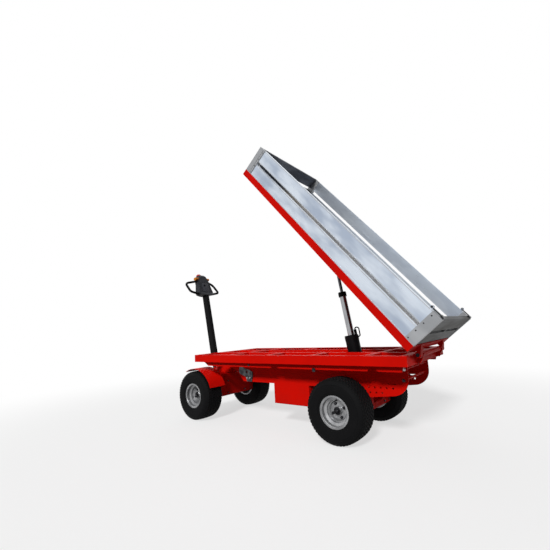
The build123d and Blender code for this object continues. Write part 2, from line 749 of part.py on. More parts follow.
# Bed side rails and end rails, the rear one with its hinge lugs
bed_end_s = bed_start + bed_length
bay_length = (bed_length - (bed_bays + 1) * bed_rail_width) / bed_bays
bay_pitch = bay_length + bed_rail_width
bed_inner = bed_half_width - bed_rail_width
lug_inner = ear_outer + lug_gap
with BuildPart() as bed_side_rails:
    with BuildSketch(bed_level(bed_rail_foot)):
        for side in (1, -1):
            with Locations(((bed_start + bed_end_s) / 2, side * (bed_half_width - bed_rail_width / 2))):
                Rectangle(bed_length, bed_rail_width)
    extrude(amount=bed_rail_height)
save(bed_side_rails.part, "bed_side_rails")

with BuildPart() as bed_end_rails:
    with BuildSketch(bed_level(bed_rail_foot)):
        for rail_middle in (bed_start + bed_rail_width / 2, bed_end_s - bed_rail_width / 2):
            with Locations((rail_middle, 0)):
                Rectangle(bed_rail_width, 2 * bed_inner)
    extrude(amount=bed_rail_height)
    for y_high in (lug_inner + lug_width, -lug_inner):
        with BuildSketch(bed_side(y_high)):
            with BuildLine():
                Polyline((0, 0), (-8, hinge_lug_radius - 2), (bed_start, board_foot),
                         (bed_start, bed_rail_foot), (16, bed_rail_foot), close=True)
            make_face()
            Circle(hinge_lug_radius)
        extrude(amount=lug_width)
    with Locations(Plane(origin=(hinge_x, 0, hinge_height), z_dir=(0, 1, 0))):
        Cylinder(hinge_shaft_radius + pivot_gap, 2 * shaft_half_length + 20, mode=Mode.SUBTRACT)
save(bed_end_rails.part, "bed_end_rails")

# Bed runners: two rails along the middle, and the two cheeks that hold the ram's eye
cradle_start = bed_start + bed_rail_width + bay_pitch * 3
cradle_end = cradle_start + 2 * bay_pitch - bed_rail_width
cheek_offset = (ram_cheek_gap + cheek_gauge) / 2
with BuildPart() as bed_runners:
    with BuildSketch(bed_level(bed_rail_foot)):
        for side in (1, -1):
            with Locations(((bed_start + bed_end_s) / 2, side * bed_runner_offset)):
                Rectangle(bed_length - 2 * bed_rail_width, bed_rail_width)
            with Locations(((cradle_start + cradle_end) / 2, side * cheek_offset)):
                Rectangle(cradle_end - cradle_start, cheek_gauge)
    extrude(amount=bed_rail_height)
    for side in (1, -1):
        with Locations(bed_side(side * (cheek_offset + cheek_gauge / 2 + 3))):
            with Locations((ram_eye_forward, ram_eye_rise, 0)):
                Cylinder(ram_pin_radius, 6)
save(bed_runners.part, "bed_runners")

# Bed cross members: short rails between the runners and the side rails
with BuildPart() as bed_cross_members:
    with BuildSketch(bed_level(bed_rail_foot)):
        outer_span = bed_inner - bed_runner_offset - bed_rail_width / 2
        inner_span = 2 * bed_runner_offset - bed_rail_width
        for bay in range(1, bed_bays):
            member_middle = bed_start + bay * bay_pitch + bed_rail_width / 2
            for side in (1, -1):
                with Locations((member_middle, side * (bed_inner - outer_span / 2))):
                    Rectangle(bed_rail_width, outer_span)
            if not cradle_start < member_middle < cradle_end:
                with Locations((member_middle, 0)):
                    Rectangle(bed_rail_width, inner_span)
    extrude(amount=bed_rail_height)
save(bed_cross_members.part, "bed_cross_members")

# Bed floor: sheet between the tailgate and the headboard
headboard_inset = 2.0
board_clearance = 3.0
headboard_face = bed_end_s - board_thickness - headboard_inset
floor_rear = strap_rear + tailgate_thickness + board_clearance
floor_front = headboard_face - 0.5
with BuildPart() as bed_floor:
    with BuildSketch(bed_level(board_foot)):
        with Locations(((floor_rear + floor_front) / 2, 0)):
            Rectangle(floor_front - floor_rear, 2 * (post_face - post_thickness) - 1)
    extrude(amount=floor_gauge)
save(bed_floor.part, "bed_floor")


# Boards: two aluminium planks with an open gap, between the posts, and the tailgate's pivot ears
tailgate_pivot_s = bed_start + tailgate_pivot_forward
tailgate_pivot_h = board_foot + board_top + tailgate_pivot_rise
post_inner_face = post_face - post_thickness
strap_inner = post_inner_face + 2.5
strap_width = 18.0
strap_outer = strap_inner + strap_width


def plank_pair():
    """Heights of the lower and the upper plank above the rail."""
    return [(0.0, board_lower), (board_lower + board_gap, board_upper)]


def side_planks(y_high):
    """Both planks of one side wall, with an open gap between them."""
    plank_length = bed_length - rear_post_width - front_post_width
    middle = bed_start + rear_post_width + plank_length / 2
    for foot, height in plank_pair():
        with BuildSketch(bed_side(y_high)) as plank:
            with Locations((middle, board_foot + foot + height / 2)):
                Rectangle(plank_length, height)
        extrude(plank.sketch, amount=board_thickness)


def tailgate_ear(side):
    """Pivot ear and pin on top of one side wall; side is 1 for left and -1 for right."""
    ear_width = board_face - strap_outer - 1
    ear_high = board_face if side > 0 else -strap_outer - 1
    with BuildSketch(bed_side(ear_high)) as ear:
        with Locations((tailgate_pivot_s, board_foot + board_top + tailgate_pivot_rise / 2)):
            Rectangle(20, tailgate_pivot_rise)
        with Locations((tailgate_pivot_s, tailgate_pivot_h)):
            Circle(10)
    extrude(ear.sketch, amount=ear_width)
    with Locations(bed_side(side * (strap_inner + board_face) / 2)):
        with Locations((tailgate_pivot_s, tailgate_pivot_h, 0)):
            Cylinder(tailgate_pin_radius, board_face - strap_inner)


with BuildPart() as side_boards_left:
    side_planks(board_face)
    tailgate_ear(1)
save(side_boards_left.part, "side_boards_left")

with BuildPart() as side_boards_right:
    side_planks(board_thickness - board_face)
    tailgate_ear(-1)
save(side_boards_right.part, "side_boards_right")

with BuildPart() as headboard:
    for foot, height in plank_pair():
        with BuildSketch(bed_end(headboard_face)):
            with Locations((0, board_foot + foot + height / 2)):
                Rectangle(2 * post_inner_face, height)
        extrude(amount=board_thickness)
save(headboard.part, "headboard")

# Corner posts: profiles that hold the planks' ends
with BuildPart() as corner_posts:
    for side in (1, -1):
        y_high = post_face if side > 0 else -post_inner_face
        for start, width in ((bed_start, rear_post_width), (bed_end_s - front_post_width, front_post_width)):
            with BuildSketch(bed_side(y_high)):
                with Locations((start + width / 2, board_foot + board_top / 2)):
                    Rectangle(width, board_top)
            extrude(amount=post_thickness)
save(corner_posts.part, "corner_posts")

# Tailgate: framed pair of planks between the rear posts
tailgate_half_width = post_inner_face - running_gap
tailgate_foot = board_foot + floor_gauge + running_gap
tailgate_rear = strap_rear
with BuildPart() as tailgate:
    with BuildSketch(bed_end(tailgate_rear)):
        tailgate_top = board_foot + board_top
        with Locations((0, (tailgate_foot + tailgate_top) / 2)):
            Rectangle(2 * tailgate_half_width, tailgate_top - tailgate_foot)
        slot_width = tailgate_half_width - 1.5 * tailgate_stile
        for side in (1, -1):
            slot_centre = side * (tailgate_stile / 2 + slot_width / 2)
            with Locations((slot_centre, board_foot + board_lower + board_gap / 2)):
                Rectangle(slot_width, board_gap, mode=Mode.SUBTRACT)
    extrude(amount=tailgate_thickness)
save(tailgate.part, "tailgate")

# Tailgate straps: bent bars from the tailgate's top to the pivots
with BuildPart() as tailgate_straps:
    for side in (1, -1):
        strap_foot = board_foot + board_top + running_gap
        with BuildSketch(bed_level(strap_foot)):
            arm_end = tailgate_pivot_s
            with Locations(((tailgate_rear + arm_end) / 2, side * (strap_inner + strap_outer) / 2)):
                Rectangle(arm_end - tailgate_rear, strap_outer - strap_inner)
            foot_inner = tailgate_half_width - 18
            with Locations((tailgate_rear + tailgate_thickness / 2, side * (foot_inner + strap_outer) / 2)):
                Rectangle(tailgate_thickness, strap_outer - foot_inner)
        extrude(amount=strap_gauge)
        with BuildSketch(bed_level(board_foot + board_top)):
            spacer_centre = side * (foot_inner + tailgate_half_width) / 2
            with Locations((tailgate_rear + tailgate_thickness / 2, spacer_centre)):
                Rectangle(tailgate_thickness, tailgate_half_width - foot_inner)
        extrude(amount=running_gap)
        with Locations(bed_side(side * (strap_inner + strap_outer) / 2)):
            with Locations((tailgate_pivot_s, tailgate_pivot_h, 0)):
                Cylinder(9, strap_outer - strap_inner)
                Cylinder(tailgate_pin_radius + pivot_gap, strap_outer - strap_inner, mode=Mode.SUBTRACT)
save(tailgate_straps.part, "tailgate_straps")

# Ram: its axis runs from the foot pin to the eye under the bed
foot_x = station(ram_foot_station)
eye_x = hinge_x + cos(tilt) * ram_eye_forward - sin(tilt) * ram_eye_rise
eye_z = hinge_height + sin(tilt) * ram_eye_forward + cos(tilt) * ram_eye_rise
ram_length = hypot(eye_x - foot_x, eye_z - ram_foot_height)
ram_dx = (eye_x - foot_x) / ram_length
ram_dz = (eye_z - ram_foot_height) / ram_length
ram_axis = Axis((foot_x, 0, ram_foot_height), (ram_dx, 0, ram_dz))
ram_plane = Plane(origin=(foot_x, 0, ram_foot_height), x_dir=(ram_dz, 0, -ram_dx), z_dir=(0, -1, 0))
print("ram length", round(ram_length, 1), "lean", round(degrees(atan2(ram_dx, ram_dz)), 2))


def turned(*points):
    """Outline right of the ram's axis turned into a round piece; x is the radius, y the distance along."""
    with BuildSketch(ram_plane) as section:
        with BuildLine():
            Polyline(*points, close=True)
        make_face()
    revolve(section.sketch, axis=ram_axis)


with BuildPart() as ram_sleeve:
    bore = stage_radius + 0.5
    collar_foot = sleeve_length - sleeve_collar_depth
    turned((0, 18), (sleeve_radius - 8, 18), (sleeve_radius, 26), (sleeve_radius, collar_foot),
           (sleeve_collar_radius, collar_foot), (sleeve_collar_radius, sleeve_length - 4),
           (sleeve_collar_radius - 4, sleeve_length), (bore, sleeve_length), (bore, 40), (0, 40))
    with Locations(Plane(origin=(foot_x, 0, ram_foot_height), z_dir=(0, 1, 0))):
        Cylinder(30, 2 * cheek_inner - 6)
        Cylinder(ram_pin_radius, 2 * cheek_inner - 6, mode=Mode.SUBTRACT)
save(ram_sleeve.part, "ram_sleeve")

with BuildPart() as ram_stage:
    bore = rod_radius + 0.5
    turned((0, stage_start), (stage_radius, stage_start), (stage_radius, stage_end - 40),
           (stage_collar_radius, stage_end - 38), (stage_collar_radius, stage_end - 3),
           (stage_collar_radius - 3, stage_end), (bore, stage_end),
           (bore, stage_start + 15), (0, stage_start + 15))
save(ram_stage.part, "ram_stage")

with BuildPart() as ram_rod:
    turned((0, rod_start), (rod_radius, rod_start), (rod_radius, ram_length), (0, ram_length))
    with Locations(Plane(origin=(eye_x, 0, eye_z), z_dir=(0, 1, 0))):
        Cylinder(ram_eye_radius, ram_eye_width)
        Cylinder(ram_pin_radius - 3, ram_cheek_gap - 2)
save(ram_rod.part, "ram_rod")

# Ram hose: short loop from a fitting on the collar back into the sleeve's side
fitting_offset = -(stage_radius + sleeve_radius) / 2 - 2
fitting_height = 40.0
hose_points = [(fitting_offset, sleeve_length + fitting_height - 2),
               (fitting_offset, sleeve_length + fitting_height + 20),
               (fitting_offset - 36, sleeve_length + fitting_height + 10),
               (fitting_offset - 34, sleeve_length - 16), (5 - sleeve_radius, sleeve_length - 26)]
with BuildPart() as ram_hose:
    with BuildLine(ram_plane) as hose_path:
        FilletPolyline(*hose_points, radius=[15, 15, 10])
    with BuildSketch(Plane(origin=hose_path.line @ 0, z_dir=hose_path.line % 0)):
        Circle(hose_radius)
    sweep(path=hose_path.line)
    fitting_start = ram_plane.from_local_coords(Vector(fitting_offset, sleeve_length, 0))
    with BuildSketch(Plane(origin=fitting_start, z_dir=(ram_dx, 0, ram_dz))):
        RegularPolygon(fitting_radius, 6)
    extrude(amount=fitting_height)
    add(ram_sleeve.part, mode=Mode.SUBTRACT)
save(ram_hose.part, "ram_hose")
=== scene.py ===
"""Finishes and fine parts of a pedestrian controlled tipping truck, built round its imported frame."""

import json
import logging
from dataclasses import dataclass, field
from enum import Enum
from math import cos, pi, radians, sin
from typing import Callable, Iterable, Optional, Union

import bpy
from mathutils import Matrix, Vector


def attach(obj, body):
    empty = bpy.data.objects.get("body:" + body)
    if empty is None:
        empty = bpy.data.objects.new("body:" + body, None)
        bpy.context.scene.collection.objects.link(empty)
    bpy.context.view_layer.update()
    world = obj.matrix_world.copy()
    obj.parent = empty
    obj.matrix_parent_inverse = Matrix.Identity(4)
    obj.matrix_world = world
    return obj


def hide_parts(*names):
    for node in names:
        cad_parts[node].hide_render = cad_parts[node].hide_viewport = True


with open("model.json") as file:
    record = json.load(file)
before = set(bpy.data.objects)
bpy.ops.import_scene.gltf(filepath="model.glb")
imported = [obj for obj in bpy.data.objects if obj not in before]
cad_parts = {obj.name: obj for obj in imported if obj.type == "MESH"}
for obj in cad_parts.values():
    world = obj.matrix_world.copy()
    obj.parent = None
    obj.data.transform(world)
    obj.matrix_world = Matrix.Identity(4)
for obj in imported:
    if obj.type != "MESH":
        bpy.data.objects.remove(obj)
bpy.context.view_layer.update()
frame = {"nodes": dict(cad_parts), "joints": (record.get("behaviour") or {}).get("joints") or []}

log = logging.getLogger("truck")
Outline = list[tuple[float, float]]
Test = Callable[[Vector, Vector], bool]
MM = 0.001


class Wheel(Enum):
    """The four wheels, by the end of their node and body names."""

    FRONT_LEFT = "front_left"
    FRONT_RIGHT = "front_right"
    REAR_LEFT = "rear_left"
    REAR_RIGHT = "rear_right"

    @property
    def side(self) -> int:
        """1 on the left of the truck and -1 on the right."""
        return 1 if self.value.endswith("left") else -1


def joint(name: str) -> dict:
    """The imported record's joint of that name."""
    return next(j for j in frame["joints"] if j["name"] == name)


class Places:
    """Frames of reference of the truck's own parts, in metres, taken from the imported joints."""

    rear_axle = Vector(joint("wheel_rear_left_spin")["pos_m"])
    bed_hinge = Vector(joint("bed_tilt")["pos_m"])
    bed_angle = radians(joint("bed_tilt")["range_deg"][1])
    tiller_pivot = Vector(joint("tiller_lift")["pos_m"])
    tiller_lean = radians(10.8)
    kingpin = Vector(joint("steering")["pos_m"])
    ram_foot = Vector(joint("ram_swing")["pos_m"])
    ram_axis = Vector(joint("ram_stage_slide")["axis"])

    @classmethod
    def station(cls, distance: float, y: float, height: float) -> Vector:
        """Point given in millimetres forward of the rear axle, to the left, and above the floor."""
        return Vector((cls.rear_axle.x + distance * MM, y * MM, height * MM))

    @classmethod
    def bed(cls) -> Matrix:
        """Bed's own directions: x forward along the floor, z square to it, from the hinge."""
        return Matrix.Translation(cls.bed_hinge) @ Matrix.Rotation(-cls.bed_angle, 4, "Y")

    @classmethod
    def tiller(cls) -> Matrix:
        """Tiller's own directions: x forward of the arm, z up along it, from its pivot."""
        return Matrix.Translation(cls.tiller_pivot) @ Matrix.Rotation(cls.tiller_lean, 4, "Y")

    @classmethod
    def ram(cls) -> Matrix:
        """Ram's own directions: z up along its axis, from its foot pin."""
        turn = Vector((0, 0, 1)).rotation_difference(cls.ram_axis).to_matrix().to_4x4()
        return Matrix.Translation(cls.ram_foot) @ turn

    @classmethod
    def wheel(cls, place: Wheel) -> Matrix:
        """Wheel's own directions: y outward along its axle, from the tyre's middle."""
        centre = Vector(joint(f"wheel_{place.value}_spin")["pos_m"])
        turn = Matrix.Rotation(0 if place.side > 0 else pi, 4, "Z")
        return Matrix.Translation(centre) @ turn


class Value:
    """A number socket that works in Python expressions; each operator adds its Math node."""

    def __init__(self, shader: "Shader", socket: bpy.types.NodeSocket) -> None:
        """Wraps a socket of a shader's node tree."""
        self.shader = shader
        self.socket = socket

    def _math(self, operation: str, first: "Number", second: "Number") -> "Value":
        """Adds one Math node and returns its result."""
        made = self.shader.node("ShaderNodeMath", {"operation": operation}, {0: first, 1: second})
        return Value(self.shader, made.outputs[0])

    def __add__(self, other: "Number") -> "Value":
        """Sum."""
        return self._math("ADD", self, other)

    __radd__ = __add__

    def __sub__(self, other: "Number") -> "Value":
        """Difference."""
        return self._math("SUBTRACT", self, other)

    def __rsub__(self, other: "Number") -> "Value":
        """Difference the other way round."""
        return self._math("SUBTRACT", other, self)

    def __mul__(self, other: "Number") -> "Value":
        """Product."""
        return self._math("MULTIPLY", self, other)

    __rmul__ = __mul__

    def between(self, low: float, high: float) -> "Value":
        """Rises smoothly from 0 at low to 1 at high."""
        made = self.shader.node("ShaderNodeMapRange", {"interpolation_type": "SMOOTHSTEP"},
                                {0: self, 1: low, 2: high, 3: 0.0, 4: 1.0})
        return Value(self.shader, made.outputs[0])


Number = Union[float, Value]
Colour = tuple[float, float, float]


class Shader:
    """Node tree of one material, with its surface shader and its output."""

    def __init__(self, name: str) -> None:
        """Starts an empty material of that name."""
        self.material = bpy.data.materials.new(name)
        self.material.use_nodes = True
        self.tree = self.material.node_tree
        self.tree.nodes.clear()
        self.output = self.node("ShaderNodeOutputMaterial")
        self.coordinates = self.node("ShaderNodeTexCoord").outputs["Object"]

    def node(self, kind: str, settings: Optional[dict] = None, inputs: Optional[dict] = None) -> bpy.types.Node:
        """Adds one node.

        Args:
            kind: the node's type name.
            settings: properties set before its sockets.
            inputs: values or links for its sockets, by name or number.

        Returns:
            The new node.
        """
        made = self.tree.nodes.new(kind)
        for key, value in (settings or {}).items():
            setattr(made, key, value)
        for key, value in (inputs or {}).items():
            if isinstance(value, Value):
                value = value.socket
            if isinstance(value, bpy.types.NodeSocket):
                self.tree.links.new(value, made.inputs[key])
            else:
                made.inputs[key].default_value = value
        return made

    def turned(self, angle: float, stretch: tuple[float, float, float] = (1, 1, 1)) -> bpy.types.NodeSocket:
        """Object coordinates turned about Y and then stretched.

        Args:
            angle: turn in radians that brings the part's own length onto X.
            stretch: scale along the turned X, Y and Z.

        Returns:
            The vector socket.
        """
        level = self.node("ShaderNodeMapping", {"vector_type": "POINT"},
                          {"Vector": self.coordinates, "Rotation": (0, angle, 0)})
        scaled = self.node("ShaderNodeVectorMath", {"operation": "MULTIPLY"}, {0: level.outputs[0], 1: stretch})
        return scaled.outputs[0]

    def noise(self, scale: float, detail: float = 3.0, rough: float = 0.5,
              vector: Optional[bpy.types.NodeSocket] = None) -> Value:
        """Cloudy pattern from 0 to 1.

        Args:
            scale: cells in a metre.
            detail: octaves of finer cells.
            rough: share of the finer cells.
            vector: coordinates, or None for the object's own.

        Returns:
            The pattern's value.
        """
        made = self.node("ShaderNodeTexNoise", None, {"Vector": vector or self.coordinates, "Scale": scale,
                                                      "Detail": detail, "Roughness": rough})
        return Value(self, made.outputs["Fac"])

    def height(self) -> Value:
        """Height above the floor in metres."""
        return Value(self, self.node("ShaderNodeSeparateXYZ", None, {0: self.coordinates}).outputs["Z"])

    def breadth(self) -> Value:
        """Distance to the left or right of the truck's middle, in metres."""
        across = Value(self, self.node("ShaderNodeSeparateXYZ", None, {0: self.coordinates}).outputs["Y"])
        return Value(self, self.node("ShaderNodeMath", {"operation": "ABSOLUTE"}, {0: across}).outputs[0])

    def mix(self, first: Union[Colour, bpy.types.NodeSocket], second: Union[Colour, bpy.types.NodeSocket],
            share: Number) -> bpy.types.NodeSocket:
        """Blends two colours.

        Args:
            first: colour where share is 0.
            second: colour where share is 1.
            share: how far it has gone to the second.

        Returns:
            The blended colour's socket.
        """
        first, second = ((*c, 1.0) if isinstance(c, tuple) else c for c in (first, second))
        made = self.node("ShaderNodeMix", {"data_type": "RGBA"}, {0: share, 6: first, 7: second})
        return made.outputs[2]

    def bump(self, height: Value, strength: float, distance: float) -> bpy.types.NodeSocket:
        """Surface normals that follow a height pattern of that depth in metres."""
        made = self.node("ShaderNodeBump", None, {"Height": height, "Strength": strength, "Distance": distance})
        return made.outputs[0]

    def surface(self, **inputs: object) -> bpy.types.Material:
        """Joins a Principled shader to the output; underscores in names stand for spaces."""
        named = {key.replace("_", " "): value for key, value in inputs.items()}
        made = self.node("ShaderNodeBsdfPrincipled", None, named)
        self.tree.links.new(made.outputs[0], self.output.inputs["Surface"])
        return self.material


@dataclass(frozen=True)
class Paint:
    """Sprayed gloss paint with faint waviness, a few duller clouds and road dust low down."""

    name: str
    colour: Colour
    deep: Colour
    dust: Colour = (0.12, 0.05, 0.035)
    dust_share: float = 0.14
    roughness: float = 0.45
    coat: float = 0.0
    specular: float = 0.05

    def build(self) -> bpy.types.Material:
        """Makes the material."""
        shader = Shader(self.name)
        clouds = shader.noise(3.5, 4.0, 0.6)
        specks = shader.noise(55.0, 5.0, 0.7)
        low = 1.0 - shader.height().between(0.12, 0.5)
        dusty = low * specks.between(0.38, 0.72) * clouds.between(0.3, 0.6) * self.dust_share
        colour = shader.mix(self.colour, self.deep, clouds.between(0.35, 0.8))
        colour = shader.mix(colour, self.dust, dusty)
        gloss = self.roughness + 0.1 * clouds + 0.9 * dusty
        peel = shader.noise(420.0, 2.0)
        return shader.surface(Base_Color=colour, Roughness=gloss, Coat_Weight=self.coat, Coat_Roughness=0.12,
                              Specular_IOR_Level=self.specular,
                              Normal=shader.bump(peel, 0.12, 0.0004))


@dataclass(frozen=True)
class Metal:
    """Bare or plated metal with brushed streaks along one direction and cloudy patches.

    Faces nearer the truck's middle than reflection_from, in metres, are painted lighter by the inner share: a painted
    reflection on those inner faces.
    """

    name: str
    dark: Colour
    light: Colour
    roughness: float = 0.32
    metallic: float = 0.9
    angle: float = 0.0
    streak: tuple[float, float, float] = (6.0, 160.0, 160.0)
    cloud: tuple[float, float, float] = (1.6, 5.0, 5.0)
    cloud_low: float = 0.38
    cloud_high: float = 0.68
    grain: float = 0.16
    inner: float = 0.0
    reflection_from: float = 0.458

    def build(self) -> bpy.types.Material:
        """Makes the material."""
        shader = Shader(self.name)
        streaks = shader.noise(1.0, 4.0, 0.65, shader.turned(self.angle, self.streak))
        clouds = shader.noise(1.0, 3.0, 0.55, shader.turned(self.angle, self.cloud))
        blend = clouds.between(self.cloud_low, self.cloud_high) + self.grain * (streaks - 0.5)
        # Painted reflection: faces nearer the middle than the given breadth are painted lighter.
        if self.inner:
            blend = blend + self.inner * (1.0 - shader.breadth().between(self.reflection_from - 0.004, self.reflection_from))
        colour = shader.mix(self.dark, self.light, blend)
        gloss = self.roughness + 0.22 * (streaks - 0.5) + 0.12 * (0.5 - clouds)
        return shader.surface(Base_Color=colour, Metallic=self.metallic, Roughness=gloss,
                              Normal=shader.bump(streaks, 0.1, 0.0003))


@dataclass(frozen=True)
class Rubber:
    """Black rubber, greyer where it is rubbed and dusty."""

    name: str
    colour: Colour = (0.0042, 0.0042, 0.0046)
    worn: Colour = (0.010, 0.010, 0.0105)
    roughness: float = 0.6
    grain_scale: float = 260.0
    specular: float = 0.02

    def build(self) -> bpy.types.Material:
        """Makes the material."""
        shader = Shader(self.name)
        clouds = shader.noise(9.0, 5.0, 0.65)
        grain = shader.noise(self.grain_scale, 3.0, 0.6)
        colour = shader.mix(self.colour, self.worn, clouds.between(0.45, 0.85) * 0.7 + 0.25 * (grain - 0.5))
        return shader.surface(Base_Color=colour, Roughness=self.roughness + 0.25 * clouds,
                              Specular_IOR_Level=self.specular,
                              Normal=shader.bump(grain, 0.25, 0.0006))


@dataclass(frozen=True)
class Moulding:
    """Moulded plastic with a fine leather grain and handling marks."""

    name: str
    colour: Colour
    lighter: Colour
    roughness: float = 0.4
    grain: float = 0.3
    specular: float = 0.14

    def build(self) -> bpy.types.Material:
        """Makes the material."""
        shader = Shader(self.name)
        leather = shader.noise(650.0, 2.0, 0.5)
        marks = shader.noise(24.0, 4.0, 0.6)
        colour = shader.mix(self.colour, self.lighter, marks.between(0.4, 0.75))
        return shader.surface(Base_Color=colour, Roughness=self.roughness + 0.15 * marks,
                              Specular_IOR_Level=self.specular,
                              Normal=shader.bump(leather, self.grain, 0.0004))


@dataclass(frozen=True)
class FloorFinish:
    """Pale floor that keeps the truck's shadow, fades to plain white far away and throws little light back."""

    name: str = "pale_floor"
    tone: Colour = (0.93, 0.93, 0.93)
    bounce: Colour = (0.14, 0.14, 0.14)
    lift: float = 0.62
    fade_from: float = 2.0
    fade_to: float = 5.0

    def build(self) -> bpy.types.Material:
        """Makes the material."""
        shader = Shader(self.name)
        distance = shader.node("ShaderNodeVectorMath", {"operation": "LENGTH"}, {0: shader.coordinates})
        far = Value(shader, distance.outputs["Value"]).between(self.fade_from, self.fade_to)
        rays = shader.node("ShaderNodeLightPath")
        mirrored = Value(shader, rays.outputs["Is Glossy Ray"]) + Value(shader, rays.outputs["Is Transmission Ray"])
        seen = (Value(shader, rays.outputs["Is Camera Ray"]) + mirrored).between(0.0, 1.0)
        tone = shader.mix(self.bounce, self.tone, seen)
        near = shader.node("ShaderNodeBsdfDiffuse", None, {"Color": tone})
        white = shader.node("ShaderNodeEmission", None, {"Color": (1, 1, 1, 1), "Strength": 1.0})
        share = seen * (self.lift + (1.0 - self.lift) * far)
        faded = shader.node("ShaderNodeMixShader", None, {0: share, 1: near.outputs[0], 2: white.outputs[0]})
        shader.tree.links.new(faded.outputs[0], shader.output.inputs["Surface"])
        return shader.material


class Finish(Enum):
    """Every finish on the truck."""

    RED = Paint("red_gloss_paint", (0.72, 0.0045, 0.001), (0.60, 0.0035, 0.001))
    BLACK = Paint("black_satin_paint", (0.0035, 0.0035, 0.004), (0.007, 0.007, 0.008), (0.02, 0.018, 0.016),
                  roughness=0.36, specular=0.05)
    # Side boards: real mill-finish clouds and streaks, with a painted sky reflection in their blue tint and light
    # patches.
    BOARD = Metal("mill_aluminium_painted_sky_board", (0.38, 0.44, 0.54), (0.66, 0.72, 0.80), angle=Places.bed_angle,
                  streak=(4.0, 130.0, 130.0), cloud=(2.2, 5.0, 6.5), inner=0.7)
    BOARD_EDGE = Metal("rolled_plank_edge", (0.42, 0.44, 0.47), (0.56, 0.58, 0.61), roughness=0.5, metallic=0.6,
                       angle=Places.bed_angle, streak=(2.0, 20.0, 20.0))
    # Painted shade: the boards' aluminium in much darker colours, for the headboard's inner face standing in shade.
    HEADBOARD = Metal("shaded_aluminium_board", (0.07, 0.075, 0.09), (0.17, 0.18, 0.21), roughness=0.42,
                      angle=Places.bed_angle, streak=(130.0, 4.0, 130.0), cloud=(5.0, 2.2, 6.5))
    # Painted shade and a painted dark reflection: the boards' aluminium in near-black colours, for a tailgate facing
    # down away from the light; its dullness is real roughness.
    TAILGATE = Metal("dull_painted_shade_board", (0.034, 0.034, 0.030), (0.085, 0.088, 0.09), roughness=0.62,
                     metallic=0.7, angle=Places.bed_angle, streak=(130.0, 4.0, 130.0), cloud=(5.0, 1.6, 4.5))
    POST = Metal("anodised_post", (0.30, 0.31, 0.325), (0.40, 0.41, 0.425), roughness=0.45, metallic=0.55,
                 angle=Places.bed_angle, streak=(160.0, 160.0, 6.0), grain=0.3)
    ZINC = Metal("zinc_plated_steel", (0.30, 0.30, 0.31), (0.60, 0.60, 0.61), roughness=0.3,
                 streak=(60.0, 60.0, 60.0), cloud=(30.0, 30.0, 30.0))
    DARK_STEEL = Metal("dark_oiled_steel", (0.012, 0.012, 0.014), (0.05, 0.05, 0.055), roughness=0.36,
                       streak=(50.0, 50.0, 50.0), cloud=(24.0, 24.0, 24.0))
    CATCH = Metal("oiled_catch_steel", (0.035, 0.038, 0.042), (0.10, 0.105, 0.11), roughness=0.4,
                  streak=(50.0, 50.0, 50.0), cloud=(24.0, 24.0, 24.0))
    CHROME = Metal("ground_ram_tube", (0.22, 0.225, 0.24), (0.40, 0.405, 0.42), roughness=0.24, metallic=1.0,
                   streak=(220.0, 220.0, 10.0), cloud=(10.0, 10.0, 3.0), grain=0.25)
    ROD = Metal("dark_ram_rod", (0.05, 0.05, 0.055), (0.10, 0.10, 0.11), roughness=0.22, metallic=1.0,
                streak=(220.0, 220.0, 10.0), cloud=(10.0, 10.0, 3.0), grain=0.25)
    RIM = Metal("silver_rim_paint", (0.23, 0.233, 0.24), (0.37, 0.373, 0.38), roughness=0.36, metallic=0.55,
                streak=(40.0, 40.0, 40.0), cloud=(14.0, 14.0, 14.0), grain=0.1)
    TYRE = Rubber("black_turf_rubber", specular=0.08)
    HOSE = Rubber("black_hose_cover", (0.005, 0.005, 0.0055), (0.015, 0.015, 0.015), roughness=0.42, grain_scale=500.0)
    BED_FLOOR = Metal("scuffed_floor_sheet", (0.07, 0.062, 0.056), (0.24, 0.215, 0.185), roughness=0.5, metallic=0.35,
                      angle=Places.bed_angle, streak=(5.0, 60.0, 60.0), cloud=(1.2, 5.0, 5.0), grain=0.3)
    # Painted shade: near-black strips standing for the shade inside grooves.
    SHADOW = Rubber("painted_groove_shade", (0.004, 0.004, 0.004), (0.008, 0.008, 0.008), roughness=0.8)
    HEAD = Moulding("dark_grey_moulding", (0.017, 0.019, 0.024), (0.030, 0.032, 0.039))
    RIDGE = Moulding("grey_ridge_moulding", (0.045, 0.048, 0.058), (0.062, 0.066, 0.08), roughness=0.34)
    GRIP = Moulding("black_grip_moulding", (0.004, 0.004, 0.005), (0.009, 0.009, 0.010), roughness=0.45, grain=0.6,
                    specular=0.05)
    STOP = Moulding("red_button_moulding", (0.50, 0.010, 0.008), (0.58, 0.025, 0.02), roughness=0.24, grain=0.05)
    AMBER = Moulding("amber_rocker_moulding", (0.62, 0.20, 0.012), (0.72, 0.28, 0.03), roughness=0.28, grain=0.08)
    FLOOR = FloorFinish()

    @property
    def material(self) -> bpy.types.Material:
        """The finish's material, made on first use."""
        return bpy.data.materials.get(self.value.name) or self.value.build()


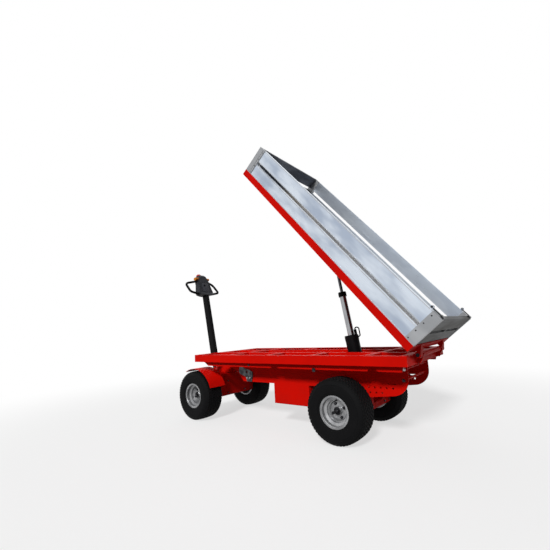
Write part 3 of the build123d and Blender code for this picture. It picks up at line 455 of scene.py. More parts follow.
class Bench:
    """Makes and shapes pieces with Blender's own tools; sizes are in millimetres."""

    @staticmethod
    def clear() -> None:
        """Leaves edit mode and deselects everything."""
        if bpy.context.object and bpy.context.object.mode != "OBJECT":
            bpy.ops.object.mode_set(mode="OBJECT")
        bpy.ops.object.select_all(action="DESELECT")

    @classmethod
    def only(cls, obj: bpy.types.Object) -> None:
        """Selects one object and makes it active."""
        cls.clear()
        obj.select_set(True)
        bpy.context.view_layer.objects.active = obj

    @classmethod
    def pick(cls, obj: bpy.types.Object, test: Test) -> None:
        """Enters edit mode with the faces selected that pass a test of their centre and normal."""
        cls.only(obj)
        bpy.ops.object.mode_set(mode="EDIT")
        bpy.ops.mesh.select_mode(type="FACE")
        bpy.ops.mesh.select_all(action="DESELECT")
        bpy.ops.object.mode_set(mode="OBJECT")
        for face in obj.data.polygons:
            face.select = test(face.center / MM, face.normal)
        bpy.ops.object.mode_set(mode="EDIT")

    @classmethod
    def ring(cls, outline: Outline, along: Callable[[float, float], Vector]) -> bpy.types.Object:
        """Closed loop of edges.

        Args:
            outline: corners as pairs in millimetres.
            along: where a pair lies in space.

        Returns:
            The loop, in object mode.
        """
        cls.clear()
        bpy.ops.mesh.primitive_circle_add(vertices=len(outline), fill_type="NOTHING")
        loop = bpy.context.object
        for vertex, (first, second) in zip(loop.data.vertices, outline):
            vertex.co = along(first, second) * MM
        return loop

    @classmethod
    def lathe(cls, outline: Outline, steps: int, axis: str = "Z") -> bpy.types.Object:
        """Turns a closed outline of (radius, distance along the axis) into a round piece."""
        along = {"Z": lambda r, a: Vector((r, 0, a)), "Y": lambda r, a: Vector((r, a, 0))}[axis]
        piece = cls.ring(outline, along)
        bpy.ops.object.mode_set(mode="EDIT")
        bpy.ops.mesh.select_all(action="SELECT")
        bpy.ops.mesh.spin(steps=steps, angle=2 * pi, center=(0, 0, 0), axis=(0, axis == "Y", axis == "Z"))
        cls.heal()
        return piece

    @classmethod
    def heal(cls) -> None:
        """Merges doubles, drops loose edges and turns the faces outwards; leaves edit mode."""
        bpy.ops.mesh.select_all(action="SELECT")
        bpy.ops.mesh.remove_doubles(threshold=0.00002)
        bpy.ops.mesh.delete_loose()
        bpy.ops.mesh.select_all(action="SELECT")
        bpy.ops.mesh.normals_make_consistent(inside=False)
        bpy.ops.object.mode_set(mode="OBJECT")

    @classmethod
    def prism(cls, outline: Outline, length: float, axis: str = "X") -> bpy.types.Object:
        """Pushes a closed outline along an axis; the outline's pairs are the two axes that follow it."""
        order = "XYZXY"
        start = order.index(axis)

        def along(first: float, second: float) -> Vector:
            """Places a pair on the plane across the axis."""
            spot = Vector((0, 0, 0))
            spot["XYZ".index(order[start + 1])] = first
            spot["XYZ".index(order[start + 2])] = second
            return spot

        piece = cls.ring(outline, along)
        bpy.ops.object.mode_set(mode="EDIT")
        bpy.ops.mesh.select_all(action="SELECT")
        bpy.ops.mesh.edge_face_add()
        push = [length * MM if name == axis else 0.0 for name in "XYZ"]
        bpy.ops.mesh.extrude_region_move(TRANSFORM_OT_translate={"value": push})
        cls.heal()
        return piece

    @classmethod
    def block(cls, size: tuple[float, float, float], centre: tuple[float, float, float] = (0, 0, 0),
              bevel: float = 0.0, segments: int = 2) -> bpy.types.Object:
        """Box with its edges rounded."""
        cls.clear()
        bpy.ops.mesh.primitive_cube_add(size=1, location=Vector(centre) * MM, scale=Vector(size) * MM)
        piece = bpy.context.object
        cls.settle(piece)
        if bevel:
            cls.round_edges(piece, bevel, segments)
        return piece

    @classmethod
    def round_edges(cls, piece: bpy.types.Object, width: float, segments: int = 2, angle: float = 40) -> None:
        """Rounds every edge sharper than an angle in degrees, by an applied bevel."""
        cls.only(piece)
        bevel = piece.modifiers.new("bevel", "BEVEL")
        bevel.width = width * MM
        bevel.segments = segments
        bevel.limit_method = "ANGLE"
        bevel.angle_limit = radians(angle)
        bpy.ops.object.modifier_apply(modifier=bevel.name)

    @classmethod
    def tube(cls, points: Iterable[tuple[float, float, float]], radius: float) -> bpy.types.Object:
        """Round bar whose smooth line runs by way of the points."""
        spots = [Vector(p) * MM for p in points]
        cls.clear()
        bpy.ops.curve.primitive_nurbs_path_add()
        piece = bpy.context.object
        line = piece.data
        line.splines.clear()
        spline = line.splines.new("NURBS")
        spline.points.add(len(spots) - 1)
        for point, spot in zip(spline.points, spots):
            point.co = (*spot, 1.0)
        spline.order_u = 3
        spline.use_endpoint_u = True
        line.dimensions = "3D"
        line.bevel_depth = radius * MM
        line.bevel_resolution = 4
        line.resolution_u = 8
        line.use_fill_caps = True
        cls.only(piece)
        bpy.ops.object.convert(target="MESH")
        return bpy.context.object

    @classmethod
    def settle(cls, piece: bpy.types.Object) -> None:
        """Puts the object at the origin with its place in its mesh."""
        cls.only(piece)
        bpy.ops.object.transform_apply(location=True, rotation=True, scale=True)

    @classmethod
    def move(cls, piece: bpy.types.Object, place: Matrix) -> bpy.types.Object:
        """Carries a piece to a place and settles it there."""
        piece.matrix_world = place @ piece.matrix_world
        cls.settle(piece)
        return piece

    @classmethod
    def copies(cls, piece: bpy.types.Object, places: Iterable[Matrix]) -> bpy.types.Object:
        """Repeats a piece at several places, joined; the first itself isn't kept."""
        made = []
        for place in places:
            again = piece.copy()
            again.data = piece.data.copy()
            bpy.context.scene.collection.objects.link(again)
            again.matrix_world = place @ piece.matrix_world
            made.append(again)
        bpy.data.objects.remove(piece)
        return cls.join(made)

    @classmethod
    def join(cls, parts: list[bpy.types.Object]) -> bpy.types.Object:
        """Joins parts into one settled piece."""
        cls.only(parts[0])
        for part in parts[1:]:
            part.select_set(True)
        if len(parts) > 1:
            bpy.ops.object.join()
        whole = bpy.context.object
        cls.settle(whole)
        return whole

    @classmethod
    def hand_over(cls, piece: bpy.types.Object, name: str, finish: Finish, body: str,
                  slot: Optional[str] = None, smooth: float = 35) -> bpy.types.Object:
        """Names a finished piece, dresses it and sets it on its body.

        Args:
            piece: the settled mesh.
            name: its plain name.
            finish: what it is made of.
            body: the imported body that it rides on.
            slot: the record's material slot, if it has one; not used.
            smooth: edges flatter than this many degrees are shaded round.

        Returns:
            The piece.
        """
        cls.only(piece)
        bpy.ops.object.shade_smooth_by_angle(angle=radians(smooth))
        piece.name = name
        piece.data.name = name
        piece.data.materials.clear()
        piece.data.materials.append(finish.material)
        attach(piece, body)
        log.info("%s: %d faces on %s", name, len(piece.data.polygons), body)
        return piece


def shift(x: float, y: float, z: float) -> Matrix:
    """Move by millimetres."""
    return Matrix.Translation(Vector((x, y, z)) * MM)


def facing(direction: tuple[float, float, float]) -> Matrix:
    """Turn that brings Z onto a direction."""
    return Vector((0, 0, 1)).rotation_difference(Vector(direction)).to_matrix().to_4x4()


@dataclass
class Fasteners:
    """Bolts, nuts and rivets; each stands on the plane z = 0 and points up Z."""

    washer_gauge: float = 1.6
    washer_ratio: float = 1.25

    def hex_bolt(self, flats: float, head: float, stub: float = 0.0) -> bpy.types.Object:
        """Hexagon head on a washer.

        Args:
            flats: width across the flats.
            head: height of the hexagon.
            stub: length of thread that stands past it.

        Returns:
            The bolt.
        """
        corner = flats / 2 / cos(pi / 6)
        hexagon = Bench.prism([(corner * cos(pi / 3 * k), corner * sin(pi / 3 * k)) for k in range(6)], head, "Z")
        Bench.round_edges(hexagon, min(1.4, head / 4), 2, 50)
        Bench.move(hexagon, shift(0, 0, self.washer_gauge))
        wide = flats / 2 * self.washer_ratio
        gauge = self.washer_gauge
        washer = Bench.lathe([(0.0, 0.0), (wide, 0.0), (wide, gauge * 0.7), (wide - 0.5, gauge), (0.0, gauge)], 24)
        parts = [hexagon, washer]
        if stub:
            radius = flats * 0.3
            top = head + gauge
            parts.append(Bench.lathe([(0.0, top - 1), (radius, top - 1), (radius, top + stub - 1),
                                      (radius - 1, top + stub), (0.0, top + stub)], 16))
        return Bench.join(parts)

    def rivet(self, radius: float, height: float) -> bpy.types.Object:
        """Domed rivet head with its mandrel dimple."""
        dome = [(radius * cos(a), height * sin(a)) for a in (0, radians(25), radians(50), radians(70))]
        return Bench.lathe([(0.0, -0.5), (radius, -0.5), *dome, (radius * 0.2, height * 0.8), (0.0, height * 0.8)], 16)

    def plug(self, radius: float, height: float) -> bpy.types.Object:
        """Round plug with a chamfered rim and a hexagon socket's shallow dish."""
        return Bench.lathe([(0.0, -0.5), (radius, -0.5), (radius, height - 1.5), (radius - 1.5, height),
                            (radius * 0.5, height), (radius * 0.42, height * 0.5), (0.0, height * 0.5)], 20)


    def pin_cap(self, radius: float, height: float) -> bpy.types.Object:
        """Flat cap with a chamfered rim and a grease nipple in its middle."""
        cap = Bench.lathe([(0.0, -0.5), (radius, -0.5), (radius, height - 1.2), (radius - 1.2, height), (4.6, height),
                           (4.6, height + 2.0), (2.6, height + 2.4), (2.2, height + 6.0), (3.0, height + 7.0),
                           (2.4, height + 9.0), (0.0, height + 9.0)], 24)
        return cap


@dataclass
class TurfTyres:
    """Turf tyres: a ribbed carcass with rows of skewed tread blocks, in place of the plain ones."""

    radius: float = 228.5
    half_width: float = 101.75
    tread_depth: float = 4.2
    rows: tuple[float, ...] = (-80.0, -60.0, -40.0, -20.0, 0.0, 20.0, 40.0, 60.0, 80.0)
    pitches: int = 54
    block_width: float = 15.5
    block_length: float = 18.5
    skew: float = 6.0

    def crown(self, across: float) -> float:
        """Radius of the tread's face at a distance from the tyre's middle."""
        share = abs(across) / (self.half_width - 26)
        return self.radius - 3.0 * share ** 2

    def carcass(self) -> bpy.types.Object:
        """Lathed body with a sunken crown, bead ribs and hollow inside."""
        half, deep = self.half_width, self.tread_depth
        bead, flange = half - 13.0, 113.5
        wall = (flange + self.radius) / 2 - 4
        side = [(flange, bead), (flange + 4, bead + 4.5), (flange + 9, bead + 5.2), (flange + 12, bead + 7.4),
                (flange + 15, bead + 7.2), (flange + 17, bead + 9.6), (wall - 20, half - 1.4), (wall, half),
                (wall + 14, half - 0.6), (wall + 16, half - 2.2), (wall + 19, half - 2.2), (wall + 21, half - 1.2),
                (self.radius - 30, half - 4.5), (self.radius - 21, half - 10.5), (self.radius - 14, half - 17)]
        top = [(self.crown(a) - deep, a) for a in (78, 66, 54, 40, 27, 14, 0)]
        outer = side + top
        inside = [(105.6, bead - 4), (101.6, bead - 4), (101.6, bead - 26), (127.6, bead - 30),
                  (wall, half - 13), (self.radius - 24, half - 27)]
        left = inside[::-1] + outer
        return Bench.lathe(left[:-1] + [(r, -a) for r, a in left[::-1]], 96, "Y")

    def block(self, across: float) -> bpy.types.Object:
        """One tread block: a cube drawn out to a skewed, tapered stud that follows the crown."""
        shoulder = abs(across) > 70
        width = 12.0 if shoulder else self.block_width
        slant = self.skew if round(abs(across) / 20) % 2 else -self.skew
        floor_depth = self.tread_depth + (6.0 if shoulder else 1.5)
        stud = Bench.block((self.block_length, width, floor_depth), (0, 0, 0))
        for vertex in stud.data.vertices:
            x, y, z = vertex.co / MM
            high = z > 0
            edge = across + y
            taper = 0.86 if high else 1.0
            level = self.crown(edge) if high else self.crown(across) - floor_depth
            if shoulder and abs(edge) > 80:
                level = self.crown(78) - 5.0 if high else self.crown(78) - floor_depth
            spread = (edge - across) * taper + across
            turn = (x * taper + slant * (y / width)) / self.radius
            vertex.co = Vector((level * sin(turn), spread, level * cos(turn))) * MM
        Bench.round_edges(stud, 1.0, 1, 30)
        return stud

    def tread(self) -> bpy.types.Object:
        """All blocks: one pitch of rows, spun round the axle."""
        pitch = 2 * pi / self.pitches
        cells = []
        for number, across in enumerate(self.rows):
            stud = self.block(across)
            offset = pitch / 2 if number % 2 else 0.0
            cells.append(Bench.move(stud, Matrix.Rotation(offset, 4, "Y")))
        row = Bench.join(cells)
        return Bench.copies(row, [Matrix.Rotation(pitch * k, 4, "Y") for k in range(self.pitches)])

    def build(self) -> None:
        """Makes one tyre and sets a copy on each wheel."""
        tyre = Bench.join([self.carcass(), self.tread()])
        for place in Wheel:
            again = tyre.copy()
            again.data = tyre.data.copy()
            bpy.context.scene.collection.objects.link(again)
            Bench.move(again, Places.wheel(place))
            name = f"turf_tyre_{place.value}"
            Bench.hand_over(again, name, Finish.TYRE, f"wheel_{place.value}", "tyre_rubber", 28)
            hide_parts(f"tyre_{place.value}")
        bpy.data.objects.remove(tyre)


@dataclass
class WheelTrim:
    """Hub cap, four wheel bolts and a valve on each rim."""

    bolt_circle: float = 50.0
    first_bolt: float = 65.0
    disc_face: float = 16.75
    hub_face: float = 38.75
    cap_radius: float = 27.0
    fasteners: Fasteners = field(default_factory=Fasteners)

    def cap(self) -> bpy.types.Object:
        """Black dished cap with a splined nut in its middle."""
        face, r = self.hub_face, self.cap_radius
        dish = Bench.lathe([(0.0, face - 0.4), (r, face - 0.4), (r, face + 3), (r - 2, face + 5.5), (r - 8, face + 6),
                            (r - 10, face + 3.5), (0.0, face + 3.5)], 40, "Y")
        nut = self.fasteners.hex_bolt(24, 9, 4)
        return Bench.join([dish, Bench.move(nut, shift(0, face + 3, 0) @ facing((0, 1, 0)))])

    def bolts(self) -> bpy.types.Object:
        """Four bolts on the rim's disc."""
        bolt = Bench.move(self.fasteners.hex_bolt(17, 9, 2), facing((0, 1, 0)))
        spots = [radians(self.first_bolt + 90 * k) for k in range(4)]
        return Bench.copies(bolt, [shift(self.bolt_circle * cos(a), self.disc_face, self.bolt_circle * sin(a))
                                   for a in spots])

    def valve(self) -> bpy.types.Object:
        """Rubber valve that stands out of the rim's well."""
        return Bench.lathe([(0.0, 0.0), (4.6, 0.0), (4.6, 4), (3.8, 8), (3.6, 24), (2.6, 25), (2.6, 31), (0.0, 31)], 14)

    def build(self) -> None:
        """Sets the trim on every wheel."""
        pieces = {"hub_cap": (self.cap(), Finish.DARK_STEEL, None), "wheel_bolts": (self.bolts(), Finish.DARK_STEEL, None),
                  "valve": (Bench.move(self.valve(), shift(0, 28.4, 75) @ facing((0, 1, 0))), Finish.HOSE, None)}
        for kind, (piece, finish, slot) in pieces.items():
            for place in Wheel:
                again = piece.copy()
                again.data = piece.data.copy()
                bpy.context.scene.collection.objects.link(again)
                Bench.move(again, Places.wheel(place))
                Bench.hand_over(again, f"{kind}_{place.value}", finish, f"wheel_{place.value}", slot)
            bpy.data.objects.remove(piece)


@dataclass
class BedTrim:
    """Rolled lips of the planks, rivets of the posts and the floor, painted groove shade on the front posts and caps on
    the tailgate's pins.
    """

    start: float = 34.4
    length: float = 2069.0
    foot: float = 62.4
    board_face: float = 467.5
    post_face: float = 470.0
    planks: tuple[tuple[float, float], ...] = ((0.0, 101.0), (127.0, 109.0))
    rear_post: float = 74.0
    front_post: float = 79.0
    lip_height: float = 6.0
    lip_stand: float = 0.9
    rivet_heights: tuple[float, ...] = (76.0, 141.0, 206.0, 272.0)
    groove_spots: tuple[float, ...] = (2028.0, 2050.0)
    floor_gauge: float = 3.0
    floor_rows: int = 13
    tailgate_pivot: tuple[float, float] = (95.0, 248.0)
    fasteners: Fasteners = field(default_factory=Fasteners)

    def lip(self, length: float) -> bpy.types.Object:
        """Half-round strip along X that stands out towards +Y."""
        h, d = self.lip_height / 2, self.lip_stand
        return Bench.prism([(-0.4, -h), (d * 0.7, -h), (d, -h * 0.6), (d, h * 0.6), (d * 0.7, h), (-0.4, h)], length)

    def side_lips(self) -> None:
        """Lips along the edges of every side plank."""
        length = self.length - self.rear_post - self.front_post - 2
        begin = self.start + self.rear_post + 1
        for side, word in ((1, "left"), (-1, "right")):
            spots = []
            for foot, height in self.planks:
                for level in (foot + self.lip_height / 2 + 1.5, foot + height - self.lip_height / 2 - 1.5):
                    spots.append(shift(begin, side * self.board_face, self.foot + level)
                                 @ Matrix.Scale(side, 4, Vector((0, 1, 0))))
            lips = Bench.copies(self.lip(length), spots)
            Bench.only(lips)
            bpy.ops.object.mode_set(mode="EDIT")
            Bench.heal()
            Bench.move(lips, Places.bed())
            Bench.hand_over(lips, f"plank_lips_{word}", Finish.BOARD_EDGE, "bed", "aluminium")

    def rivets(self) -> None:
        """Rivets through the posts into the planks' ends."""
        for side, word in ((1, "left"), (-1, "right")):
            rivet = Bench.move(self.fasteners.rivet(5.0, 1.4), facing((0, side, 0)))
            spots = [shift(s, side * self.post_face, h) for h in self.rivet_heights
                     for s in (self.start + self.rear_post - 16, self.start + self.length - self.front_post + 12)]
            piece = Bench.move(Bench.copies(rivet, spots), Places.bed())
            Bench.hand_over(piece, f"post_rivets_{word}", Finish.DARK_STEEL, "bed")

    def post_grooves(self) -> None:
        """Near-black strips painted as the shade in the grooves of the front corner profiles."""
        spots = [shift(s, side * self.post_face, self.foot + 118) for side in (1, -1) for s in self.groove_spots]
        lines = Bench.move(Bench.copies(Bench.block((2.4, 0.8, 228.0), (0, 0, 0), 0.2, 1), spots), Places.bed())
        Bench.hand_over(lines, "front_post_groove_shade", Finish.SHADOW, "bed")

    def floor_rivets(self) -> None:
        """Rows of rivets that hold the floor to the bed's rails."""
        pitch = self.length / (self.floor_rows + 1)
        spots = [shift(self.start + pitch * (k + 1), y, self.foot + self.floor_gauge)
                 for k in range(self.floor_rows) for y in (-400, -190, 190, 400)]
        piece = Bench.move(Bench.copies(self.fasteners.rivet(6.0, 1.6), spots), Places.bed())
        Bench.hand_over(piece, "floor_rivets", Finish.ZINC, "bed", "grey_steel")

    def tailgate_pins(self) -> None:
        """Caps on the tailgate's pivot pins."""
        cap = Bench.lathe([(0.0, -0.4), (8.0, -0.4), (8.0, 1.2), (7.0, 2.0), (0.0, 2.0)], 20)
        along, up = self.tailgate_pivot
        spots = [shift(self.start + along, side * self.board_face, self.foot + up) @ facing((0, side, 0))
                 for side in (1, -1)]
        piece = Bench.move(Bench.copies(cap, spots), Places.bed())
        Bench.hand_over(piece, "tailgate_pin_caps", Finish.DARK_STEEL, "bed")

    def build(self) -> None:
        """Makes the bed's trim."""
        self.side_lips()
        self.rivets()
        self.post_grooves()
        self.floor_rivets()
        self.tailgate_pins()


@dataclass
class ChassisTrim:
    """Nuts on the tail rods and caps of the hinge shaft."""

    plate_face: float = 250.0
    rod_spots: tuple[tuple[float, float], ...] = ((-443.0, 437.0), (-453.0, 510.0))
    shaft_half: float = 318.0
    fasteners: Fasteners = field(default_factory=Fasteners)

    def rod_nuts(self) -> None:
        """Nuts over the ends of the tail rods, the upper pair bright."""
        for (distance, height), word, finish in zip(self.rod_spots, ("lower", "upper"),
                                                    (Finish.DARK_STEEL, Finish.ZINC)):
            spots = [Matrix.Translation(Places.station(distance, side * (self.plate_face + 8.0), height))
                     @ facing((0, side, 0)) for side in (1, -1)]
            piece = Bench.copies(self.fasteners.hex_bolt(19, 8, 4), spots)
            Bench.hand_over(piece, f"{word}_tail_rod_nuts", finish, "chassis", "grey_steel")

    def shaft_caps(self) -> None:
        """Retaining caps on the bed's hinge shaft."""
        cap = Bench.lathe([(0.0, 0.0), (13.0, 0.0), (13.0, 2.5), (11.5, 4.0), (0.0, 4.0)], 24)
        spots = []
        for side in (1, -1):
            end = Places.bed_hinge + Vector((0, side * self.shaft_half * MM, 0))
            spots.append(Matrix.Translation(end) @ facing((0, side, 0)))
        Bench.hand_over(Bench.copies(cap, spots), "hinge_shaft_caps", Finish.DARK_STEEL, "chassis")

    def build(self) -> None:
        """Makes the chassis trim."""
        self.rod_nuts()
        self.shaft_caps()


@dataclass
class RamTrim:
    """Black gland on the ram's stage, with a wiper lip round the rod on its top, and the caps of both pins."""

    stage_end: float = 754.0
    stage_collar: float = 33.0
    rod_radius: float = 13.0
    foot_cheek: float = 74.0
    eye_forward: float = 1195.0
    eye_rise: float = 35.0
    eye_pin_end: float = 34.0
    fasteners: Fasteners = field(default_factory=Fasteners)

    def gland(self) -> None:
        """Screwed gland that wraps the stage's top collar."""
        top, r, rod = self.stage_end, self.stage_collar, self.rod_radius + 0.8
        skin = Bench.lathe([(r - 0.3, top - 40), (r + 1.2, top - 39), (r + 1.2, top - 5), (r - 1.5, top + 0.8),
                            (rod + 6, top + 0.8), (rod + 4, top + 3), (rod, top + 3), (rod, top - 1),
                            (r - 3.4, top - 1), (r - 0.3, top - 4)], 40)
        Bench.move(skin, Places.ram())
        Bench.hand_over(skin, "ram_stage_gland", Finish.BLACK, "ram_stage", "black_paint")

    def pins(self) -> None:
        """Pin caps, with a grease nipple each, on the foot bracket and under the bed."""
        cap = self.fasteners.pin_cap(19.0, 5.0)
        spots = [Matrix.Translation(Places.ram_foot) @ shift(0, side * self.foot_cheek, 0) @ facing((0, side, 0))
                 for side in (1, -1)]
        Bench.hand_over(Bench.copies(cap, spots), "ram_foot_pin_caps", Finish.ZINC, "chassis", "grey_steel")
        cap = self.fasteners.pin_cap(13.0, 3.0)
        spots = [Places.bed() @ shift(self.eye_forward, side * self.eye_pin_end, self.eye_rise)
                 @ facing((0, side, 0)) for side in (1, -1)]
        Bench.hand_over(Bench.copies(cap, spots), "ram_eye_pin_caps", Finish.ZINC, "bed", "grey_steel")

    def build(self) -> None:
        """Makes the ram's trim."""
        self.gland()
        self.pins()


@dataclass
class HeadTrim:
    """Rear panel of the control head with its key switch and screws, and the tiller's pivot caps."""

    panel_x: float = -19.6
    panel_up: float = 946.0
    panel_slope: float = 0.117
    panel_size: tuple[float, float] = (112.0, 96.0)
    key_spot: tuple[float, float] = (24.0, 12.0)
    pivot_end: float = 36.5
    fasteners: Fasteners = field(default_factory=Fasteners)

    def face(self) -> Matrix:
        """Rear face of the head: x up along it, y to the left, z out of it."""
        return Places.tiller() @ shift(self.panel_x, 0, self.panel_up) @ facing((-1.0, 0, self.panel_slope))

    def panel(self) -> None:
        """Raised panel with rounded corners."""
        long, wide = self.panel_size
        plate = Bench.block((long, wide, 3.0), (0, 0, 0.6), 1.4, 3)
        Bench.move(plate, self.face())
        Bench.hand_over(plate, "head_rear_panel", Finish.RIDGE, "tiller", "black_plastic")

    def key_switch(self) -> None:
        """Round key switch with its slot."""
        up, left = self.key_spot
        collar = Bench.lathe([(0.0, 0.0), (12.0, 0.0), (12.0, 3.0), (10.5, 4.5), (8.0, 4.5), (7.0, 2.6), (0.0, 2.6)], 28)
        slot = Bench.block((9.0, 2.0, 1.2), (0, 0, 3.0), 0.4, 1)
        switch = Bench.join([collar, slot])
        Bench.move(switch, self.face() @ shift(up, left, 2.0))
        Bench.hand_over(switch, "key_switch", Finish.GRIP, "tiller", "black_plastic")

    def screws(self) -> None:
        """Screws in the corners of the panel."""
        long, wide = self.panel_size
        spots = [self.face() @ shift(a * (long / 2 - 9), b * (wide / 2 - 9), 2.0) for a in (1, -1) for b in (1, -1)]
        Bench.hand_over(Bench.copies(self.fasteners.plug(4.0, 1.6), spots), "head_screws", Finish.DARK_STEEL, "tiller")

    def pivot_caps(self) -> None:
        """Caps on both ends of the tiller's pin."""
        cap = self.fasteners.pin_cap(14.0, 3.5)
        spots = [Matrix.Translation(Places.tiller_pivot) @ shift(0, side * self.pivot_end, 0) @ facing((0, side, 0))
                 for side in (1, -1)]
        Bench.hand_over(Bench.copies(cap, spots), "tiller_pin_caps", Finish.ZINC, "front_axle", "grey_steel")

    def build(self) -> None:
        """Makes the trim of head and tiller."""
        self.panel()
        self.key_switch()
        self.screws()
        self.pivot_caps()


@dataclass
class AxleTrim:
    """Round covers, corner bolts and drain plugs of both drive housings, and the kingpin's nut."""

    wheelbase: float = 1542.0
    axle_height: float = 228.5
    half_length: float = 142.0
    housing_bottom: float = 186.0
    front_face: float = 250.0
    rear_face: float = 244.0
    cover_radius: float = 68.0
    neck_top: float = 528.0
    fasteners: Fasteners = field(default_factory=Fasteners)

    def cover(self) -> bpy.types.Object:
        """Flanged ring round a spindle, with six small bolts."""
        r = self.cover_radius
        ring = Bench.lathe([(21.0, -0.5), (r, -0.5), (r, 2.2), (r - 1.5, 3.4), (44.0, 3.4), (38.0, 6.0), (21.0, 6.0)], 48)
        spots = [Matrix.Rotation(radians(30 + 60 * k), 4, "Z") @ shift(57, 0, 3.0) for k in range(6)]
        return Bench.join([ring, Bench.copies(self.fasteners.hex_bolt(10, 3.6), spots)])

    def covers(self, station: float, face: float, body: str, word: str) -> None:
        """Covers on both sides of one housing."""
        spots = [Matrix.Translation(Places.station(station, side * face, self.axle_height)) @ facing((0, side, 0))
                 for side in (1, -1)]
        Bench.hand_over(Bench.copies(self.cover(), spots), f"{word}_drive_covers", Finish.BLACK, body, "black_paint")

    def end_bolts(self, station: float, body: str, word: str) -> None:
        """Corner bolts on the front and back of one housing, and its drain plug."""
        spots = []
        for way in (1, -1):
            for y in (214.0, 120.0, -120.0, -214.0):
                for z in (214.0, 330.0):
                    place = Places.station(station + way * self.half_length, y, z)
                    spots.append(Matrix.Translation(place) @ facing((way, 0, 0)))
        bolts = Bench.copies(self.fasteners.hex_bolt(13, 6), spots)
        plug = self.fasteners.plug(13.0, 7.0)
        Bench.move(plug, Matrix.Translation(Places.station(station + 60, 150, self.housing_bottom))
                   @ Matrix.Rotation(pi, 4, "X"))
        Bench.hand_over(Bench.join([bolts, plug]), f"{word}_drive_bolts", Finish.DARK_STEEL, body, "grey_steel")

    def kingpin(self) -> None:
        """Nut and washer on the kingpin, and a ring of bolts round it."""
        middle = Matrix.Translation(Places.station(self.wheelbase, 0, self.neck_top))
        nut = Bench.move(self.fasteners.hex_bolt(46, 15), middle)
        ring = self.fasteners.hex_bolt(16, 7)
        spots = [middle @ shift(92 * cos(radians(a)), 92 * sin(radians(a)), 0)
                 for a in (14, 46, 134, 166, -14, -46, -134, -166)]
        bolts = Bench.copies(ring, spots)
        Bench.hand_over(Bench.join([nut, bolts]), "kingpin_nut_and_bolts", Finish.ZINC, "chassis", "grey_steel")

    def build(self) -> None:
        """Makes the trim of both axles."""
        self.covers(0.0, self.rear_face, "chassis", "rear")
        self.covers(self.wheelbase, self.front_face, "front_axle", "front")
        self.end_bolts(0.0, "chassis", "rear")
        self.end_bolts(self.wheelbase, "front_axle", "front")
        self.kingpin()


@dataclass
class PackTrim:
    """Filler cap, motor end bell and hose unions of the hydraulic pack, vents of the battery box."""

    tank_top: float = 484.0
    tank_front: float = 955.0
    motor_spot: tuple[float, float] = (-60.0, 419.0)
    motor_radius: float = 45.0
    motor_length: float = 70.0
    block_top: float = 434.0
    battery_ends: tuple[float, float] = (330.0, 690.0)
    battery_middle: float = 275.0
    fasteners: Fasteners = field(default_factory=Fasteners)

    def filler(self) -> bpy.types.Object:
        """Ribbed filler cap on its neck."""
        neck = Bench.lathe([(0.0, -0.5), (19.0, -0.5), (19.0, 5.0), (24.0, 6.0), (24.0, 15.0), (22.0, 17.0),
                            (9.0, 17.0), (8.0, 15.5), (0.0, 15.5)], 32)
        rib = Bench.block((2.0, 3.0, 9.0), (24.2, 0, 10.5), 0.6, 1)
        ribs = Bench.copies(rib, [Matrix.Rotation(2 * pi * k / 16, 4, "Z") for k in range(16)])
        cap = Bench.join([neck, ribs])
        return Bench.move(cap, Matrix.Translation(Places.station(832, 92, self.tank_top)))

    def motor(self) -> bpy.types.Object:
        """End bell with its through bolts."""
        r = self.motor_radius
        bell = Bench.lathe([(0.0, -14.0), (r + 1.5, -14.0), (r + 1.5, -1.0), (r - 3, 2.5), (16.0, 2.5), (14.0, 6.0),
                            (0.0, 6.0)], 40)
        bolts = Bench.copies(self.fasteners.hex_bolt(8, 3.5), [Matrix.Rotation(pi / 4 + pi * k / 2, 4, "Z")
                                                               @ shift(34, 0, 2.0) for k in range(4)])
        whole = Bench.join([bell, bolts])
        y, z = self.motor_spot
        return Bench.move(whole, Matrix.Translation(Places.station(self.tank_front + self.motor_length, y, z))
                          @ facing((1, 0, 0)))

    def unions(self) -> None:
        """Hexagon unions on the valve block."""
        spots = [Matrix.Translation(Places.station(975, y, self.block_top)) for y in (48, 92)]
        unions = Bench.copies(self.fasteners.hex_bolt(20, 14, 4), spots)
        Bench.hand_over(unions, "valve_block_unions", Finish.ZINC, "chassis", "grey_steel")

    def vents(self) -> None:
        """Pressed louvres on the front and back of the battery box."""
        spots = []
        for station, way in zip(self.battery_ends, (-1, 1)):
            for row in range(5):
                for y in (-110, 110):
                    spots.append(Matrix.Translation(Places.station(station + way * 1.0, y,
                                                                   self.battery_middle - 36 + 18 * row)))
        louvre = Bench.block((5.0, 150.0, 6.0), (0, 0, 0), 2.2, 3)
        Bench.hand_over(Bench.copies(louvre, spots), "battery_box_louvres", Finish.RED, "chassis", "red_paint")

    def build(self) -> None:
        """Makes the trim of pack and battery box."""
        Bench.hand_over(Bench.join([self.filler(), self.motor()]), "pack_cap_and_motor_bell", Finish.GRIP, "chassis",
                        "black_plastic")
        self.unions()
        self.vents()


